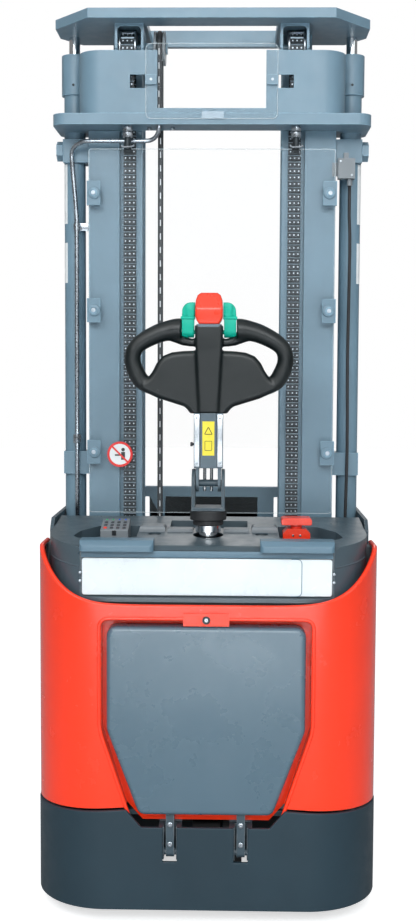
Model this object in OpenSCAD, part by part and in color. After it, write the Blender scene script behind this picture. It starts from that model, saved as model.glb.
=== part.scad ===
// Rear-entry electric stacker truck: drive unit, folding platform, tiller and two-stage mast.
// X runs to the right, Y from the operator towards the fork tips, Z up. Millimetres.

/* [Overall] */
// Width over the skirt
truck_w = 800; // [720:10:960]
// Distance from the operator face to the fork face
fork_face = 690; // [680:10:820]
// Length of each fork
fork_len = 1150; // [900:10:1400]
// Height of the fixed mast's top plate above the floor
mast_h = 1896; // [1580:1:2300]

/* [Mast] */
// Outer radius of a lift cylinder's barrel
barrel_r = 27; // [22.5:0.1:32.4]
// Radius of a piston rod
rod_r = 14; // [10:0.5:17]
// Radius from a mast pulley's axis to the middle of the chain
pulley_r = 36; // [30:0.5:38]
// Width of a lift chain
chain_w = 32; // [24:1:38]
// Radius of the rollers on the inner mast
mast_roller_r = 55.5; // [50:0.5:60]
// Radius of the rollers on the fork carriage
fork_roller_r = 41.5; // [36:0.5:46]

/* [Forks] */
// Width of a fork
fork_w = 180; // [150:1:210]
// Width over both forks
forks_over = 570; // [520:5:680]
// Height of the lowered fork top
fork_top = 88; // [80:1:110]

/* [Wheels] */
// Diameter of the drive wheel
drive_d = 230; // [190:1:250]
// Diameter of a caster wheel
caster_d = 100; // [80:1:110]
// Diameter of a load roller
load_d = 64; // [56:1:70]

/* [Tiller] */
// Height of the tiller's tilt pivot
tilt_z = 1003; // [960:1:1060]
// Radius of the tilt shaft
tilt_r = 8; // [6:0.5:12]
// Half width of the tiller arm
arm_half = 34; // [28:1:40]

/* [Platform] */
// Half width of the platform panel
panel_half = 225; // [187.5:0.5:240]
// Length of the platform panel
panel_len = 433; // [340:1:460]
// Radius of the platform's hinge pin
hinge_r = 8; // [5:0.5:10]

/* [Hidden] */
$fn = 64;
half_w = truck_w / 2;
wall = 4;
fit = 0.05;
gap = 1;
over = 5;
skirt_t = 10;
skirt_base = 37;
corner_r = 170;
skirt_rear = 300;
cover_rear = 262;
cover_y = 12;
lid_rear = 382;
tiller_y = 172;
slot_x = 81;
slot_w = 33;
slot_z = 150;
notch_z = 230;
notch_half = 146;
plateau_z = 270;
skirt_side_z = 256;
panel_z = 259;
panel_t = 45;
hinge_y = 30;
hinge_z = 165;
recess_y = 50;
panel_lip_z = 737;
cover_rise = 118;
plate_out = half_w - 11;
plate_t = 9;
plate_top = 905;
mast_y = 430;
channel_d = 140;
flange_t = 14;
web_t = 12;
cyl_y = 480;
cyl_x = half_w - 21 - barrel_r;
channel_out = cyl_x - barrel_r - 13;
flange_w = 79;
inner_out = channel_out - 62;
inner_flange_w = 74;
inner_y = mast_y + flange_t + 2;
inner_d = channel_d - 2 * flange_t - 4;
inner_flange_t = 12;
roller_y = mast_y + channel_d / 2;
inner_h = mast_h + 214;
plate_bottom = mast_h - 27;
pulley_y = inner_y - 8 - pulley_r;
anchor_y = pulley_y - pulley_r;
pulley_z = inner_h - 46;
chain_x = channel_out - 104;
chain_t = 12;
hose_x = -130;
hose_r = 7;
shroud_y = 342;
side_plate_x = inner_out - inner_flange_w - 8;
axle_r = 15;
pin_r = 10;
fork_x = forks_over / 2 - fork_w / 2;
leg_half = fork_w / 2 - 14;
load_y = fork_face + fork_len - 190;
caster_x = half_w - 130;
caster_y = 200;
caster_trail = 26;
stop_x = 209;
stop_y = 186;
horn_z = 1290;
rocker_z = 1340;
head_back = 205;
wing_z = 1384;
creep_z = 1095;

// Places everything so that the floor point under the middle of the truck is the origin.
module in_frame() {
    translate([0, -(fork_face + fork_len) / 2, 0]) children();
}

module pair() {
    children();
    mirror([1, 0, 0]) children();
}

module block(x, y, z) {
    translate([x[0], y[0], z[0]]) cube([x[1] - x[0], y[1] - y[0], z[1] - z[0]]);
}

module rod_x(r, x, y, z) {
    translate([x[0], y, z]) rotate([0, 90, 0]) cylinder(r = r, h = x[1] - x[0]);
}

module rod_y(r, x, y, z) {
    translate([x, y[1], z]) rotate([90, 0, 0]) cylinder(r = r, h = y[1] - y[0]);
}

module rod_z(r, x, y, z) {
    translate([x, y, z[0]]) cylinder(r = r, h = z[1] - z[0]);
}

module hex_z(across, x, y, z) {
    translate([x, y, z[0]]) cylinder(r = across / sqrt(3), h = z[1] - z[0], $fn = 6);
}

// Prism whose outline lies in the XZ plane.
module front_prism(outline, y) {
    translate([0, y[1], 0]) rotate([90, 0, 0]) linear_extrude(y[1] - y[0]) polygon(outline);
}

// Prism whose outline lies in the YZ plane.
module side_prism(outline, x) {
    translate([x[0], 0, 0]) rotate([90, 0, 90]) linear_extrude(x[1] - x[0]) polygon(outline);
}

module plan_prism(outline, z) {
    translate([0, 0, z[0]]) linear_extrude(z[1] - z[0]) polygon(outline);
}

// Upright block with round front corners.
module bow(half, y, r, z) {
    union() {
        block([-half, half], [y[0] + r, y[1]], z);
        block([-(half - r), half - r], [y[0], y[1]], z);
        pair() intersection() {
            rod_z(r, half - r, y[0] + r, z);
            block([half - r - gap, half + gap], [y[0] - gap, y[0] + r + gap], z);
        }
    }
}

function unit(v) = v / norm(v);
function arc_corner(a, p, b, r, n) = let (
    u = unit(a - p),
    w = unit(b - p),
    half = acos(u * w) / 2,
    c = p + unit(u + w) * r / sin(half),
    s = p + u * r / tan(half) - c,
    e = p + w * r / tan(half) - c,
    start = atan2(s.y, s.x),
    turn = (atan2(e.y, e.x) - start + 540) % 360 - 180
) [for (i = [0 : n]) c + r * [cos(start + turn * i / n), sin(start + turn * i / n)]];

// Outline with every corner rounded by its own radius.
function rounded(points, radii, n = 6) = let (last = len(points)) [
    for (i = [0 : last - 1])
        each arc_corner(points[(i + last - 1) % last], points[i], points[(i + 1) % last], radii[i], n)
];
function mirrored(points) = concat(points, [for (i = [len(points) - 1 : -1 : 0]) [-points[i].x, points[i].y]]);
function repeated(value, count) = [for (i = [1 : count]) value];

// Tube swept along a route of points.
function route_dir(p, i) = unit(p[min(i + 1, len(p) - 1)] - p[max(i - 1, 0)]);
function spline(p, i, t) = let (
    a = p[max(i - 1, 0)],
    b = p[i],
    c = p[i + 1],
    d = p[min(i + 2, len(p) - 1)]
) 0.5 * (2 * b + (c - a) * t + (2 * a - 5 * b + 4 * c - d) * t * t + (3 * b - a - 3 * c + d) * t * t * t);
function smooth(p, steps) = concat(
    [for (i = [0 : len(p) - 2]) for (k = [0 : steps - 1]) spline(p, i, k / steps)], [p[len(p) - 1]]);
module tube(route, r, sides = 10) {
    rings = [for (i = [0 : len(route) - 1]) let (
        d = route_dir(route, i),
        u = unit(cross(d, [0.25, 1, 0.1])),
        v = cross(d, u)
    ) [for (k = [0 : sides - 1]) route[i] + r * (cos(360 * k / sides) * u + sin(360 * k / sides) * v)]];
    points = [for (ring = rings) each ring];
    last = len(route) - 1;
    faces = concat(
        [[for (k = [0 : sides - 1]) k]],
        [[for (k = [sides - 1 : -1 : 0]) last * sides + k]],
        [for (i = [0 : last - 1]) for (k = [0 : sides - 1])
            [i * sides + k, (i + 1) * sides + k, (i + 1) * sides + (k + 1) % sides, i * sides + (k + 1) % sides]]);
    polyhedron(points, faces, convexity = 6);
}

// Chassis and covers

skirt_top = mirrored([[half_w + gap, skirt_side_z], [300, 263], [notch_half + 35, plateau_z], [notch_half, notch_z]]);
function cover_top_z(x) = panel_lip_z + cover_rise * pow(abs(x) / half_w, 6.5);
cover_steps = 24;
cover_top = [for (i = [cover_steps : -1 : -cover_steps]) let (x = i * (half_w + gap) / cover_steps)
    [x, cover_top_z(x)]];
taper_z = panel_z + 195;
panel_top = panel_z + panel_len;
panel_outline = mirrored([[panel_half - 73, panel_z], [panel_half, taper_z], [panel_half, panel_top]]);
latch_half = 52;
latch_y = 7;
latch_z = [panel_top + 2, panel_top + 31];

module chassis_frame() {
    color("dimgray") in_frame() difference() {
        union() {
            pair() side_prism([[cover_rear, 70], [600, 70], [600, 820], [570, plate_top], [cover_rear + 24, plate_top],
                [cover_rear, 881]], [plate_out - plate_t, plate_out]);
            intersection() {
                bow(plate_out, [skirt_t + gap, 346], corner_r - skirt_t - gap, [240, 252]);
                block([-half_w, half_w], [60, 346 + over], [230, 260]);
            }
            block([-plate_out, plate_out], [346, 600], [46, 60]);
            block([-plate_out, plate_out], [334, 346], [46, 252]);
            pair() block([155, 163], [70, 290], [252, 345]);
            block([-163, 163], [70, 290], [333, 345]);
            pair() block([caster_x - 55, caster_x + 55], [caster_y - 55, caster_y + 55], [150, 160]);
            pair() block([caster_x - 55, caster_x - 47], [caster_y - 55, caster_y + 55], [160, 240]);
            pair() block([caster_x + 47, caster_x + 55], [caster_y - 55, caster_y + 55], [160, 240]);
            pair() block([slot_x - 26, slot_x - 14], [16, 46], [150, 226]);
            pair() block([slot_x + 14, slot_x + 26], [16, 46], [150, 226]);
            pair() block([slot_x - 26, slot_x + 26], [46, 66], [196, 226]);
            pair() block([slot_x - 26, slot_x + 26], [58, 66], [226, 252]);
        }
        rod_z(152, 0, tiller_y, [230, 260]);
        rod_z(60 + fit, 0, tiller_y, [330, 350]);
        pair() rod_x(hinge_r + fit, [slot_x - 30, slot_x + 30], hinge_y, hinge_z);
        pair() rod_z(10 + fit, caster_x, caster_y, [145, 165]);
    }
}

module skirt() {
    color("darkslategray") in_frame() difference() {
        intersection() {
            difference() {
                bow(half_w, [0, skirt_rear], corner_r, [skirt_base, plateau_z]);
                bow(half_w - skirt_t, [skirt_t, skirt_rear + over], corner_r - skirt_t, [0, plateau_z + over]);
            }
            front_prism(concat(skirt_top, [[-(half_w + gap), 0], [half_w + gap, 0]]), [-over, skirt_rear + 2 * over]);
        }
        pair() block([slot_x - slot_w / 2, slot_x + slot_w / 2], [-gap, skirt_t + gap], [slot_z, plateau_z]);
    }
}

module cover_recess(margin, depth) {
    front_prism([for (p = panel_outline) [p.x + sign(p.x) * margin,
        p.y > panel_z ? (p.y > taper_z ? p.y + margin : p.y) : p.y - 40]], [-over, depth]);
}

module rear_cover() {
    bottom = [for (p = skirt_top) [p.x, p.y + 3]];
    color("orangered") in_frame() intersection() {
        union() {
            difference() {
                bow(half_w, [cover_y, cover_rear], corner_r, [200, 900]);
                cover_recess(13, recess_y);
                difference() {
                    bow(half_w - wall, [cover_y + wall, cover_rear + over], corner_r - wall, [190, 910]);
                    cover_recess(13 + wall, recess_y + wall);
                }
            }
            block([-latch_half, latch_half], [latch_y, recess_y + 1], latch_z);
        }
        front_prism(concat(bottom, [for (p = cover_top) [-p.x, p.y]]), [-over, cover_rear + 2 * over]);
    }
}

lid_half = plate_out - plate_t - 3;
lid_slope = 27 / 305;
function lid_z(y) = 869 + (y - 45) * lid_slope;

module lid_shape(inset, base) {
    intersection() {
        bow(lid_half - inset, [24 + inset, lid_rear + (inset > 0 ? over : 0)], 176 - inset, [base, 920]);
        side_prism([[0, base - over], [lid_rear + over - 2 * inset, base - over],
            [lid_rear + over - 2 * inset, lid_z(lid_rear + over) - inset],
            [60, lid_z(60) - inset], [24 + inset, lid_z(60) - 20 - inset], [0, lid_z(60) - 26 - inset]],
            [-half_w, half_w]);
    }
}

module lid_pockets(margin) {
    floor_z = 862 - margin;
    rear = 266 + margin;
    front = 128 - margin;
    pair() plan_prism(rounded([[168 - margin, front], [302 + margin, front], [318 + margin, 152],
        [306 + margin, 208], [262 + margin, rear], [168 - margin, rear]], [6, 14, 14, 40, 26, 6]),
        [floor_z, 950]);
    block([-(94 + margin), 94 + margin], [244 - margin, 330 + margin], [floor_z + 12, 950]);
    block([-(290 + margin), 290 + margin], [0, 51 + margin], [754 - margin, 861 + margin]);
}

module dashboard() {
    color("darkslategray") in_frame() difference() {
        lid_shape(0, 745);
        lid_pockets(0);
        difference() {
            lid_shape(wall, 700);
            lid_pockets(wall);
        }
        rod_z(36, 0, tiller_y, [700, 950]);
        pair() rod_z(15.5, 127, 180, [700, 950]);
    }
}

module dashboard_pads() {
    color("slategray") in_frame() pair() difference() {
        side_prism([[23, 860], [40, 860], [62, lid_z(62) + 0.2], [80, lid_z(80) + 0.2], [74, lid_z(74) + 14],
            [34, lid_z(60) + 14], [23, lid_z(60) + 2]], [121, 289]);
        lid_shape(0, 745);
    }
}

module service_panel() {
    color("gainsboro") in_frame() front_prism(rounded([[-285, 757], [285, 757], [285, 842], [-285, 842]],
        repeated(6, 4)), [44, 50.9]);
}

module keypad() {
    color("darkgray") in_frame() side_prism([[168, 862], [246, 862], [246, 907], [238, 909], [168, 890]],
        [-256, -190]);
}

module stop_base() {
    color("orangered") in_frame() difference() {
        front_prism([[stop_x - 32, 862], [stop_x + 32, 862], [stop_x + 32, 886], [stop_x + 22, 896.5],
            [stop_x - 22, 896.5], [stop_x - 32, 886]], [stop_y - 26, stop_y + 26]);
        rod_z(14.6, stop_x, stop_y, [884, 900]);
    }
}

module stop_knob() {
    color("red") in_frame() {
        front_prism(rounded([[stop_x - 36, 905], [stop_x + 36, 905], [stop_x + 36, 922], [stop_x - 36, 922]],
            [4, 4, 7, 7]), [stop_y - 24, stop_y + 24]);
        rod_z(14, stop_x, stop_y, [893, 905]);
    }
}

module cover_fasteners() {
    color("silver") in_frame() {
        rod_y(4.7, 0, [latch_y - 3, latch_y], latch_z[0] + 14);
        pair() rod_y(5, slot_x, [42.6, 46], 215);
    }
}

// Fixed mast

module channel(out, flange, depth, front_t, web, front_y, z) {
    difference() {
        block([out - flange, out], [front_y, front_y + depth], z);
        block([out - flange - gap, out - web], [front_y + front_t, front_y + depth - front_t], [z[0] - gap, z[1] + gap]);
    }
}

module outer_channels() {
    color("slategray") in_frame() pair() {
        channel(channel_out, flange_w, channel_d, flange_t, web_t, mast_y, [60, plate_bottom]);
    }
}

module outer_crosshead() {
    lobe = inner_out + 4;
    color("darkslategray") in_frame() difference() {
        plan_prism(rounded([[-(half_w - 7), shroud_y], [half_w - 7, shroud_y], [half_w - 7, 528],
            [-(half_w - 7), 528]], [34, 34, 20, 20]), [plate_bottom, mast_h]);
        block([-lobe, lobe], [mast_y - 2, 600], [plate_bottom - gap, mast_h + gap]);
        pair() rod_z(barrel_r + fit, cyl_x, cyl_y, [plate_bottom - gap, mast_h + gap]);
        pair() rod_z(8 + fit, chain_x, anchor_y, [plate_bottom - gap, mast_h + gap]);
        rod_z(hose_r, hose_x, anchor_y, [plate_bottom - gap, mast_h + gap]);
    }
    color("darkslategray") in_frame() {
        block([-channel_out, channel_out], [mast_y - 20, mast_y - 2], [560, 600]);
        pair() block([channel_out - 40, channel_out], [mast_y - 2, mast_y], [560, 600]);
    }
}

gland_z = [mast_h + 66, mast_h + 167];
barrel_base = 60;
piston_z = [400, 440];

module cylinder_barrels() {
    color("slategray") in_frame() pair() difference() {
        union() {
            rod_z(barrel_r, cyl_x, cyl_y, [barrel_base, gland_z[0]]);
            rod_z(barrel_r + 6, cyl_x, cyl_y, gland_z);
        }
        rod_z(barrel_r - 5, cyl_x, cyl_y, [barrel_base + 20, gland_z[0] - 4]);
        rod_z(rod_r + fit, cyl_x, cyl_y, [gland_z[0] - 5, gland_z[1] + gap]);
    }
}

clamp_z = [mast_h - 103, 1000, 500];

module cylinder_clamps() {
    color("slategray") in_frame() pair() {
        for (z = clamp_z) {
            difference() {
                block([channel_out, cyl_x + barrel_r], [446, 514], [z, z + 58]);
                rod_z(barrel_r + fit, cyl_x, cyl_y, [z - gap, z + 59]);
            }
            if (z == clamp_z[0]) translate([cyl_x + barrel_r, 462, z + 29])
                rotate([0, 90, 0]) cylinder(r = 25, h = 16, $fn = 6);
        }
    }
}

module mast_shroud() {
    wing = cyl_x - 22;
    color("slategray") in_frame() difference() {
        bow(wing, [shroud_y, shroud_y + 72], 58, [mast_h, mast_h + 151]);
        bow(wing - 3, [shroud_y + 3, shroud_y + 72 + over], 55, [mast_h - gap, mast_h + 151 + gap]);
        block([-(chain_x - 75), chain_x - 75], [shroud_y - gap, shroud_y + 4], [mast_h + 12, mast_h + 160]);
        pair() block([chain_x - 45, chain_x - 8], [shroud_y - gap, shroud_y + 4], [mast_h + 60, mast_h + 92]);
    }
}

module clear_guards() {
    sheet = channel_out - 3;
    pane = chain_x - 46;
    color("aliceblue", 0.4) in_frame() {
        front_prism(rounded([[-sheet, 905], [sheet, 905], [sheet, mast_h - 76], [-sheet, mast_h - 76]],
            repeated(8, 4)), [400, 404]);
        front_prism(rounded([[-pane, mast_h - 15], [pane, mast_h - 15], [pane, mast_h + 167],
            [-pane, mast_h + 167]], [6, 6, 16, 16]), [shroud_y - 4, shroud_y]);
    }
}

module guard_clips() {
    heights = [1030, 1388, mast_h - 216];
    color("slategray") in_frame() {
        pair() for (z = heights) {
            block([channel_out - 33, channel_out + 1], [396, 400], [z, z + 60]);
            block([channel_out - 2.5, channel_out + 1], [400, 410], [z, z + 60]);
            block([channel_out - 16, channel_out], [404, mast_y], [z + 10, z + 50]);
            block([channel_out, channel_out + 1], [404, 410], [z + 10, z + 50]);
            rod_y(6, channel_out - 16, [391, 396], z + 30);
        }
        pair() block([chain_x - 73, chain_x - 47], [shroud_y - 9, shroud_y - 4], [mast_h + 67, mast_h + 91]);
    }
}

pipe_r = 5.5;
pipe_out = cyl_x - 9;
pipe_top = mast_h - 59;
pipe_route = concat(
    [[-pipe_out, 436, 300], [-pipe_out, 436, 1200]],
    smooth([[-pipe_out, 436, pipe_top - 190], [-pipe_out - 3, 436, pipe_top - 140],
        [-pipe_out - 11, 435, pipe_top - 48], [-pipe_out - 8, 424, pipe_top - 16],
        [-pipe_out + 14, anchor_y + 38, pipe_top - 2], [-pipe_out + 44, anchor_y + 28, pipe_top],
        [hose_x - 46, anchor_y + 26, pipe_top], [hose_x - 18, anchor_y + 22, pipe_top + 3],
        [hose_x - 4, anchor_y + 10, pipe_top + 15], [hose_x, anchor_y + 1, pipe_top + 31],
        [hose_x, anchor_y, pipe_top + 51]], 4),
    [[hose_x, anchor_y, pipe_top + 63]]);

module hydraulic_pipe() {
    color("silver") in_frame() tube(pipe_route, pipe_r);
}

module limit_switch() {
    z = mast_h - 148;
    color("dimgray") in_frame() {
        block([channel_out + 4, channel_out + 46], [mast_y - 24, mast_y + 4], [z, z + 50]);
        block([channel_out - 10, channel_out + 4], [mast_y - 3, mast_y], [z + 8, z + 42]);
        rod_z(7, channel_out + 34, mast_y - 8, [z - 16, z]);
        block([channel_out + 18, channel_out + 30], [mast_y - 20, mast_y - 8], [z + 50, z + 64]);
    }
}

cable_x = channel_out + 34;
cable_route = concat(
    [[cable_x, mast_y - 8, mast_h - 164], [cable_x, mast_y - 8, mast_h - 200]],
    smooth([[cable_x, mast_y - 8, mast_h - 240], [cable_x + 3, mast_y - 4, mast_h - 330],
        [cable_x + 1, mast_y, 1300], [cable_x + 3, mast_y - 1, 1080], [cable_x, mast_y - 3, 900]], 3),
    [[cable_x, mast_y - 3, 760]]);

module switch_cable() {
    color("black") in_frame() tube(cable_route, 4);
}

module chain_anchors() {
    y = anchor_y;
    color("silver") in_frame() pair() {
        rod_z(8, chain_x, y, [mast_h - 84, mast_h + 4]);
        hex_z(24, chain_x, y, [plate_bottom - 14, plate_bottom]);
        hex_z(24, chain_x, y, [plate_bottom - 29, plate_bottom - 15]);
        block([chain_x - 14, chain_x + 14], [y - 6, y + 6], [mast_h, mast_h + 28]);
    }
}

// Inside the covers

module battery() {
    color("dimgray") in_frame() {
        block([170, half_w - 55], [70, 325], [252, 640]);
        block([190, 230], [120, 160], [640, 662]);
        block([270, 310], [120, 160], [640, 662]);
    }
}

module power_pack() {
    color("gray") in_frame() {
        block([-(half_w - 60), -175], [190, 330], [252, 520]);
        rod_z(55, -260, 125, [252, 500]);
        block([-300, -220], [150, 190], [262, 330]);
        rod_z(20, -290, 260, [520, 545]);
    }
}

module motor_controller() {
    color("silver") in_frame() {
        block([-120, 120], [250, 330], [620, 800]);
        for (x = [-110 : 20 : 110]) block([x - 3, x + 3], [232, 250], [630, 790]);
    }
}

// Support legs and wheels

module support_legs() {
    front = 600;
    color("slategray") in_frame() pair() difference() {
        union() {
            block([fork_x - leg_half, fork_x + leg_half], [front, load_y + 75], [34, 70]);
            block([fork_x - leg_half, fork_x + leg_half], [mast_y + channel_d + gap, front], [60, 70]);
        }
        block([fork_x - 38, fork_x + 38], [load_y - 44, load_y + 44], [20, 80]);
    }
    color("slategray") in_frame() pair() {
        rod_x(10, [fork_x - 39, fork_x + 39], load_y, load_d / 2);
        block([fork_x - leg_half, fork_x + leg_half], [560, 600], [34, 46]);
    }
}

module load_roller(side) {
    color("gold") in_frame() difference() {
        rod_x(load_d / 2, [side * fork_x - 36, side * fork_x + 36], load_y, load_d / 2);
        rod_x(10 + fit, [side * fork_x - 40, side * fork_x + 40], load_y, load_d / 2);
    }
}

module caster_swivel(side) {
    x = side * caster_x;
    axle_y = caster_y + caster_trail;
    color("silver") in_frame() {
        rod_z(10, x, caster_y, [138, 162]);
        rod_z(30, x, caster_y, [138, 149.5]);
        block([x - 26, x + 26], [caster_y - 22, axle_y + 14], [caster_d + 6, 138]);
        block([x - 26, x - 20], [axle_y - 14, axle_y + 14], [caster_d / 2 - 14, caster_d + 6]);
        block([x + 20, x + 26], [axle_y - 14, axle_y + 14], [caster_d / 2 - 14, caster_d + 6]);
        rod_x(7, [x - 22, x + 22], axle_y, caster_d / 2);
    }
}

module caster_wheel(side) {
    x = side * caster_x;
    color("dimgray") in_frame() difference() {
        rod_x(caster_d / 2, [x - 18, x + 18], caster_y + caster_trail, caster_d / 2);
        rod_x(7 + fit, [x - 20, x + 20], caster_y + caster_trail, caster_d / 2);
    }
}

// Drive unit

wheel_half = 34;

module drive_gearbox() {
    z = drive_d / 2;
    color("gray") in_frame() {
        rod_x(70, [wheel_half + 6, 84], tiller_y, z);
        block([wheel_half + 6, 84], [tiller_y - 55, tiller_y + 55], [z, drive_d + 30]);
        rod_z(100, 0, tiller_y, [drive_d + 16, 326]);
        rod_z(60, 0, tiller_y, [326, 352]);
        rod_x(20, [-wheel_half, wheel_half + 8], tiller_y, z);
    }
}

module drive_wheel() {
    z = drive_d / 2;
    color("dimgray") in_frame() difference() {
        union() {
            rod_x(z, [-wheel_half + 2, wheel_half], tiller_y, z);
            rod_x(48, [-wheel_half, -wheel_half + 2], tiller_y, z);
        }
        rod_x(20 + fit, [-wheel_half - gap, wheel_half + gap], tiller_y, z);
    }
}

module drive_motor() {
    color("dimgray") in_frame() {
        rod_z(75, 0, tiller_y, [352, 560]);
        rod_z(62, 0, tiller_y, [560, 600]);
    }
}

// Tiller

collar_z = 905;
bracket_z = 940;

module steering_column() {
    color("silver") in_frame() {
        rod_z(22, 0, tiller_y, [600, collar_z]);
        rod_z(30, 0, tiller_y, [888, collar_z]);
    }
}

module tiller_boot() {
    color("dimgray") in_frame() {
        rod_z(36, 0, tiller_y, [collar_z, collar_z + 12]);
        rod_z(43, 0, tiller_y, [collar_z + 12, bracket_z]);
    }
}

cheek_half = arm_half + 5;

module tiller_bracket() {
    color("dimgray") in_frame() {
        block([-cheek_half, cheek_half], [tiller_y - 36, tiller_y + 36], [bracket_z, bracket_z + 8]);
        pair() {
            block([cheek_half - 8, cheek_half], [tiller_y - 34, tiller_y + 34], [bracket_z, tilt_z]);
            rod_x(34, [cheek_half - 8, cheek_half], tiller_y, tilt_z);
        }
        rod_x(tilt_r, [-cheek_half, cheek_half], tiller_y, tilt_z);
    }
}

arm_z = [tilt_z + 37, 1169];
tongue_half = cheek_half - 9;

module tiller_arm() {
    color("slategray") in_frame() difference() {
        union() {
            block([-arm_half, arm_half], [tiller_y - 27, tiller_y + 27], arm_z);
            pair() block([tongue_half - 8, tongue_half], [tiller_y - 20, tiller_y + 20], [tilt_z, arm_z[0] + 1]);
            pair() rod_x(20, [tongue_half - 8, tongue_half], tiller_y, tilt_z);
        }
        rod_x(tilt_r + fit, [-cheek_half, cheek_half], tiller_y, tilt_z);
        pair() block([18, 20], [tiller_y - 28, tiller_y - 25], [arm_z[0] - gap, arm_z[1] + gap]);
        rod_x(3.3, [-arm_half - gap, -arm_half + 12], tiller_y, creep_z);
    }
}

module gas_springs() {
    color("silver") in_frame() {
        for (x = [-9, 7]) rod_z(4, x, tiller_y + 16, [tilt_z - 20, arm_z[0]]);
        rod_x(3.5, [-(tongue_half - 8), tongue_half - 8], tiller_y + 16, tilt_z + 4);
    }
}

module creep_button() {
    color("dimgray") in_frame() {
        rod_x(5, [-arm_half - 9, -arm_half - 3.5], tiller_y, creep_z);
        rod_x(3, [-arm_half - 3.5, -arm_half + 6], tiller_y, creep_z);
    }
}

grip_route = [[88, 172, 1360, 22], [120, 170, 1352, 21], [152, 168, 1338, 20], [174, 167, 1316, 20],
    [177, 167, 1284, 20], [166, 169, 1252, 20]];
shield = mirrored([[40, 1169], [55, 1183], [119, 1203], [166, 1228], [172, 1250], [140, 1256], [126, 1268],
    [114, 1290], [100, 1303], [60, 1313]]);

module tiller_head() {
    color("black") in_frame() difference() {
        union() {
            pair() for (i = [0 : len(grip_route) - 2]) hull() for (p = [grip_route[i], grip_route[i + 1]])
                translate([p[0], p[1], p[2]]) sphere(r = p[3], $fn = 24);
            front_prism(shield, [148, 196]);
            block([-32, 32], [140, head_back], [1169, 1366]);
            pair() block([30, 88], [156, 188], [1322, 1344]);
        }
        rod_z(9, 0, tiller_y, [1330, 1370]);
        rod_x(7, [-40, 40], tiller_y, wing_z - 26);
        block([-16, 16], [head_back - 13, head_back + gap], [rocker_z - 22, rocker_z + 22]);
        rod_y(10, 0, [head_back - 10, head_back + gap], horn_z);
    }
}

module belly_button() {
    color("orangered") in_frame() {
        front_prism(rounded([[-30.5, 1376], [30.5, 1376], [30.5, 1450], [-30.5, 1450]], [8, 8, 14, 14]), [140, 204]);
        rod_z(8, 0, tiller_y, [1345, 1376]);
    }
}

module speed_wings() {
    color("turquoise") in_frame() {
        pair() rod_x(13, [34, 64], tiller_y, wing_z - 26);
        pair() side_prism([[tiller_y - 9, wing_z - 26], [tiller_y + 9, wing_z - 26], [tiller_y + 15, wing_z + 30],
            [tiller_y + 8, wing_z + 43], [tiller_y - 8, wing_z + 43], [tiller_y - 15, wing_z + 30]], [34, 64]);
        rod_x(5, [9, 36], tiller_y, wing_z - 26);
        rod_x(5, [-36, -9], tiller_y, wing_z - 26);
    }
}

module lift_rocker() {
    color("gray") in_frame() {
        rod_x(8, [-15, 15], head_back - 2, rocker_z);
        block([-15, 15], [head_back - 1, head_back + 6], [rocker_z - 18, rocker_z + 18]);
    }
}

module horn_button() {
    color("gray") in_frame() rod_y(9, 0, [head_back - 6, head_back + 5], horn_z);
}

// Folding platform

module platform_arms() {
    color("gray") in_frame() pair() {
        block([slot_x - 9.5, slot_x + 9.5], [18, 42], [hinge_z, panel_z + 1]);
        rod_x(12, [slot_x - 9.5, slot_x + 9.5], hinge_y, hinge_z);
        rod_x(hinge_r, [slot_x - 25, slot_x + 25], hinge_y, hinge_z);
        block([slot_x - 9.5, slot_x + 9.5], [36, panel_t], [panel_z, panel_z + 300]);
    }
}

module platform_panel() {
    color("slategray") in_frame() difference() {
        front_prism(rounded(panel_outline, [20, 40, 22, 22, 40, 20]), [0, panel_t]);
        pair() block([slot_x - 9.5, slot_x + 9.5], [36, panel_t + over], [panel_z - over, panel_z + 300]);
        pair() block([slot_x - 9.5, slot_x + 9.5], [18, panel_t + over], [panel_z - over, panel_z + 1]);
    }
}

// Moving mast

module inner_channels() {
    color("gray") in_frame() pair() {
        channel(inner_out, inner_flange_w, inner_d, inner_flange_t, web_t, inner_y, [90, inner_h]);
        rod_x(axle_r, [inner_out, channel_out - web_t - 3], roller_y, 150);
    }
    color("gray") in_frame() {
        block([-(inner_out - web_t), inner_out - web_t], [inner_y, inner_y + inner_flange_t], [90, 150]);
    }
}

module inner_crosshead() {
    top = inner_h + 24;
    bay = chain_x - 48;
    color("darkslategray") in_frame() {
        difference() {
            plan_prism(mirrored([[half_w - 102, 290], [half_w - 10, 400], [half_w - 10, 490],
                [half_w - 60, 556]]), [inner_h, top]);
            block([-bay, bay], [368, 600], [inner_h - gap, top + gap]);
        }
        block([-250, 250], [556, 576], [inner_h - 4, inner_h + 38]);
    }
}

module pulley_brackets() {
    x = chain_x - 6;
    half = chain_w / 2 + 19;
    strap = 6;
    low = pulley_z - 20;
    arch_low = mast_h + 156;
    color("slategray") in_frame() {
        pair() {
            block([x - half, x - half + strap], [347, pulley_y + pulley_r + 4], [low, inner_h]);
            block([x + half - strap, x + half], [347, pulley_y + pulley_r + 4], [low, inner_h]);
            difference() {
                block([x - half, x + half], [341, 347], [arch_low, inner_h]);
                front_prism(rounded([[x - half + strap, arch_low - over], [x + half - strap, arch_low - over],
                    [x + half - strap, inner_h - strap], [x - half + strap, inner_h - strap]], [0.5, 0.5, 11, 11]),
                    [340, 348]);
            }
            rod_x(pin_r, [x - half, x + half], pulley_y, pulley_z);
        }
        rod_x(pin_r + 4, [-(x - half), hose_x - 15], pulley_y, pulley_z);
        rod_x(pin_r, [hose_x - 16, hose_x + 16], pulley_y, pulley_z);
        rod_x(pin_r + 4, [hose_x + 15, hose_x + 19], pulley_y, pulley_z);
    }
}

module piston_rods() {
    color("silver") in_frame() pair() {
        rod_z(rod_r, cyl_x, cyl_y, [piston_z[0], inner_h]);
        rod_z(barrel_r - 5 - 2 * fit, cyl_x, cyl_y, piston_z);
    }
}

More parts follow.
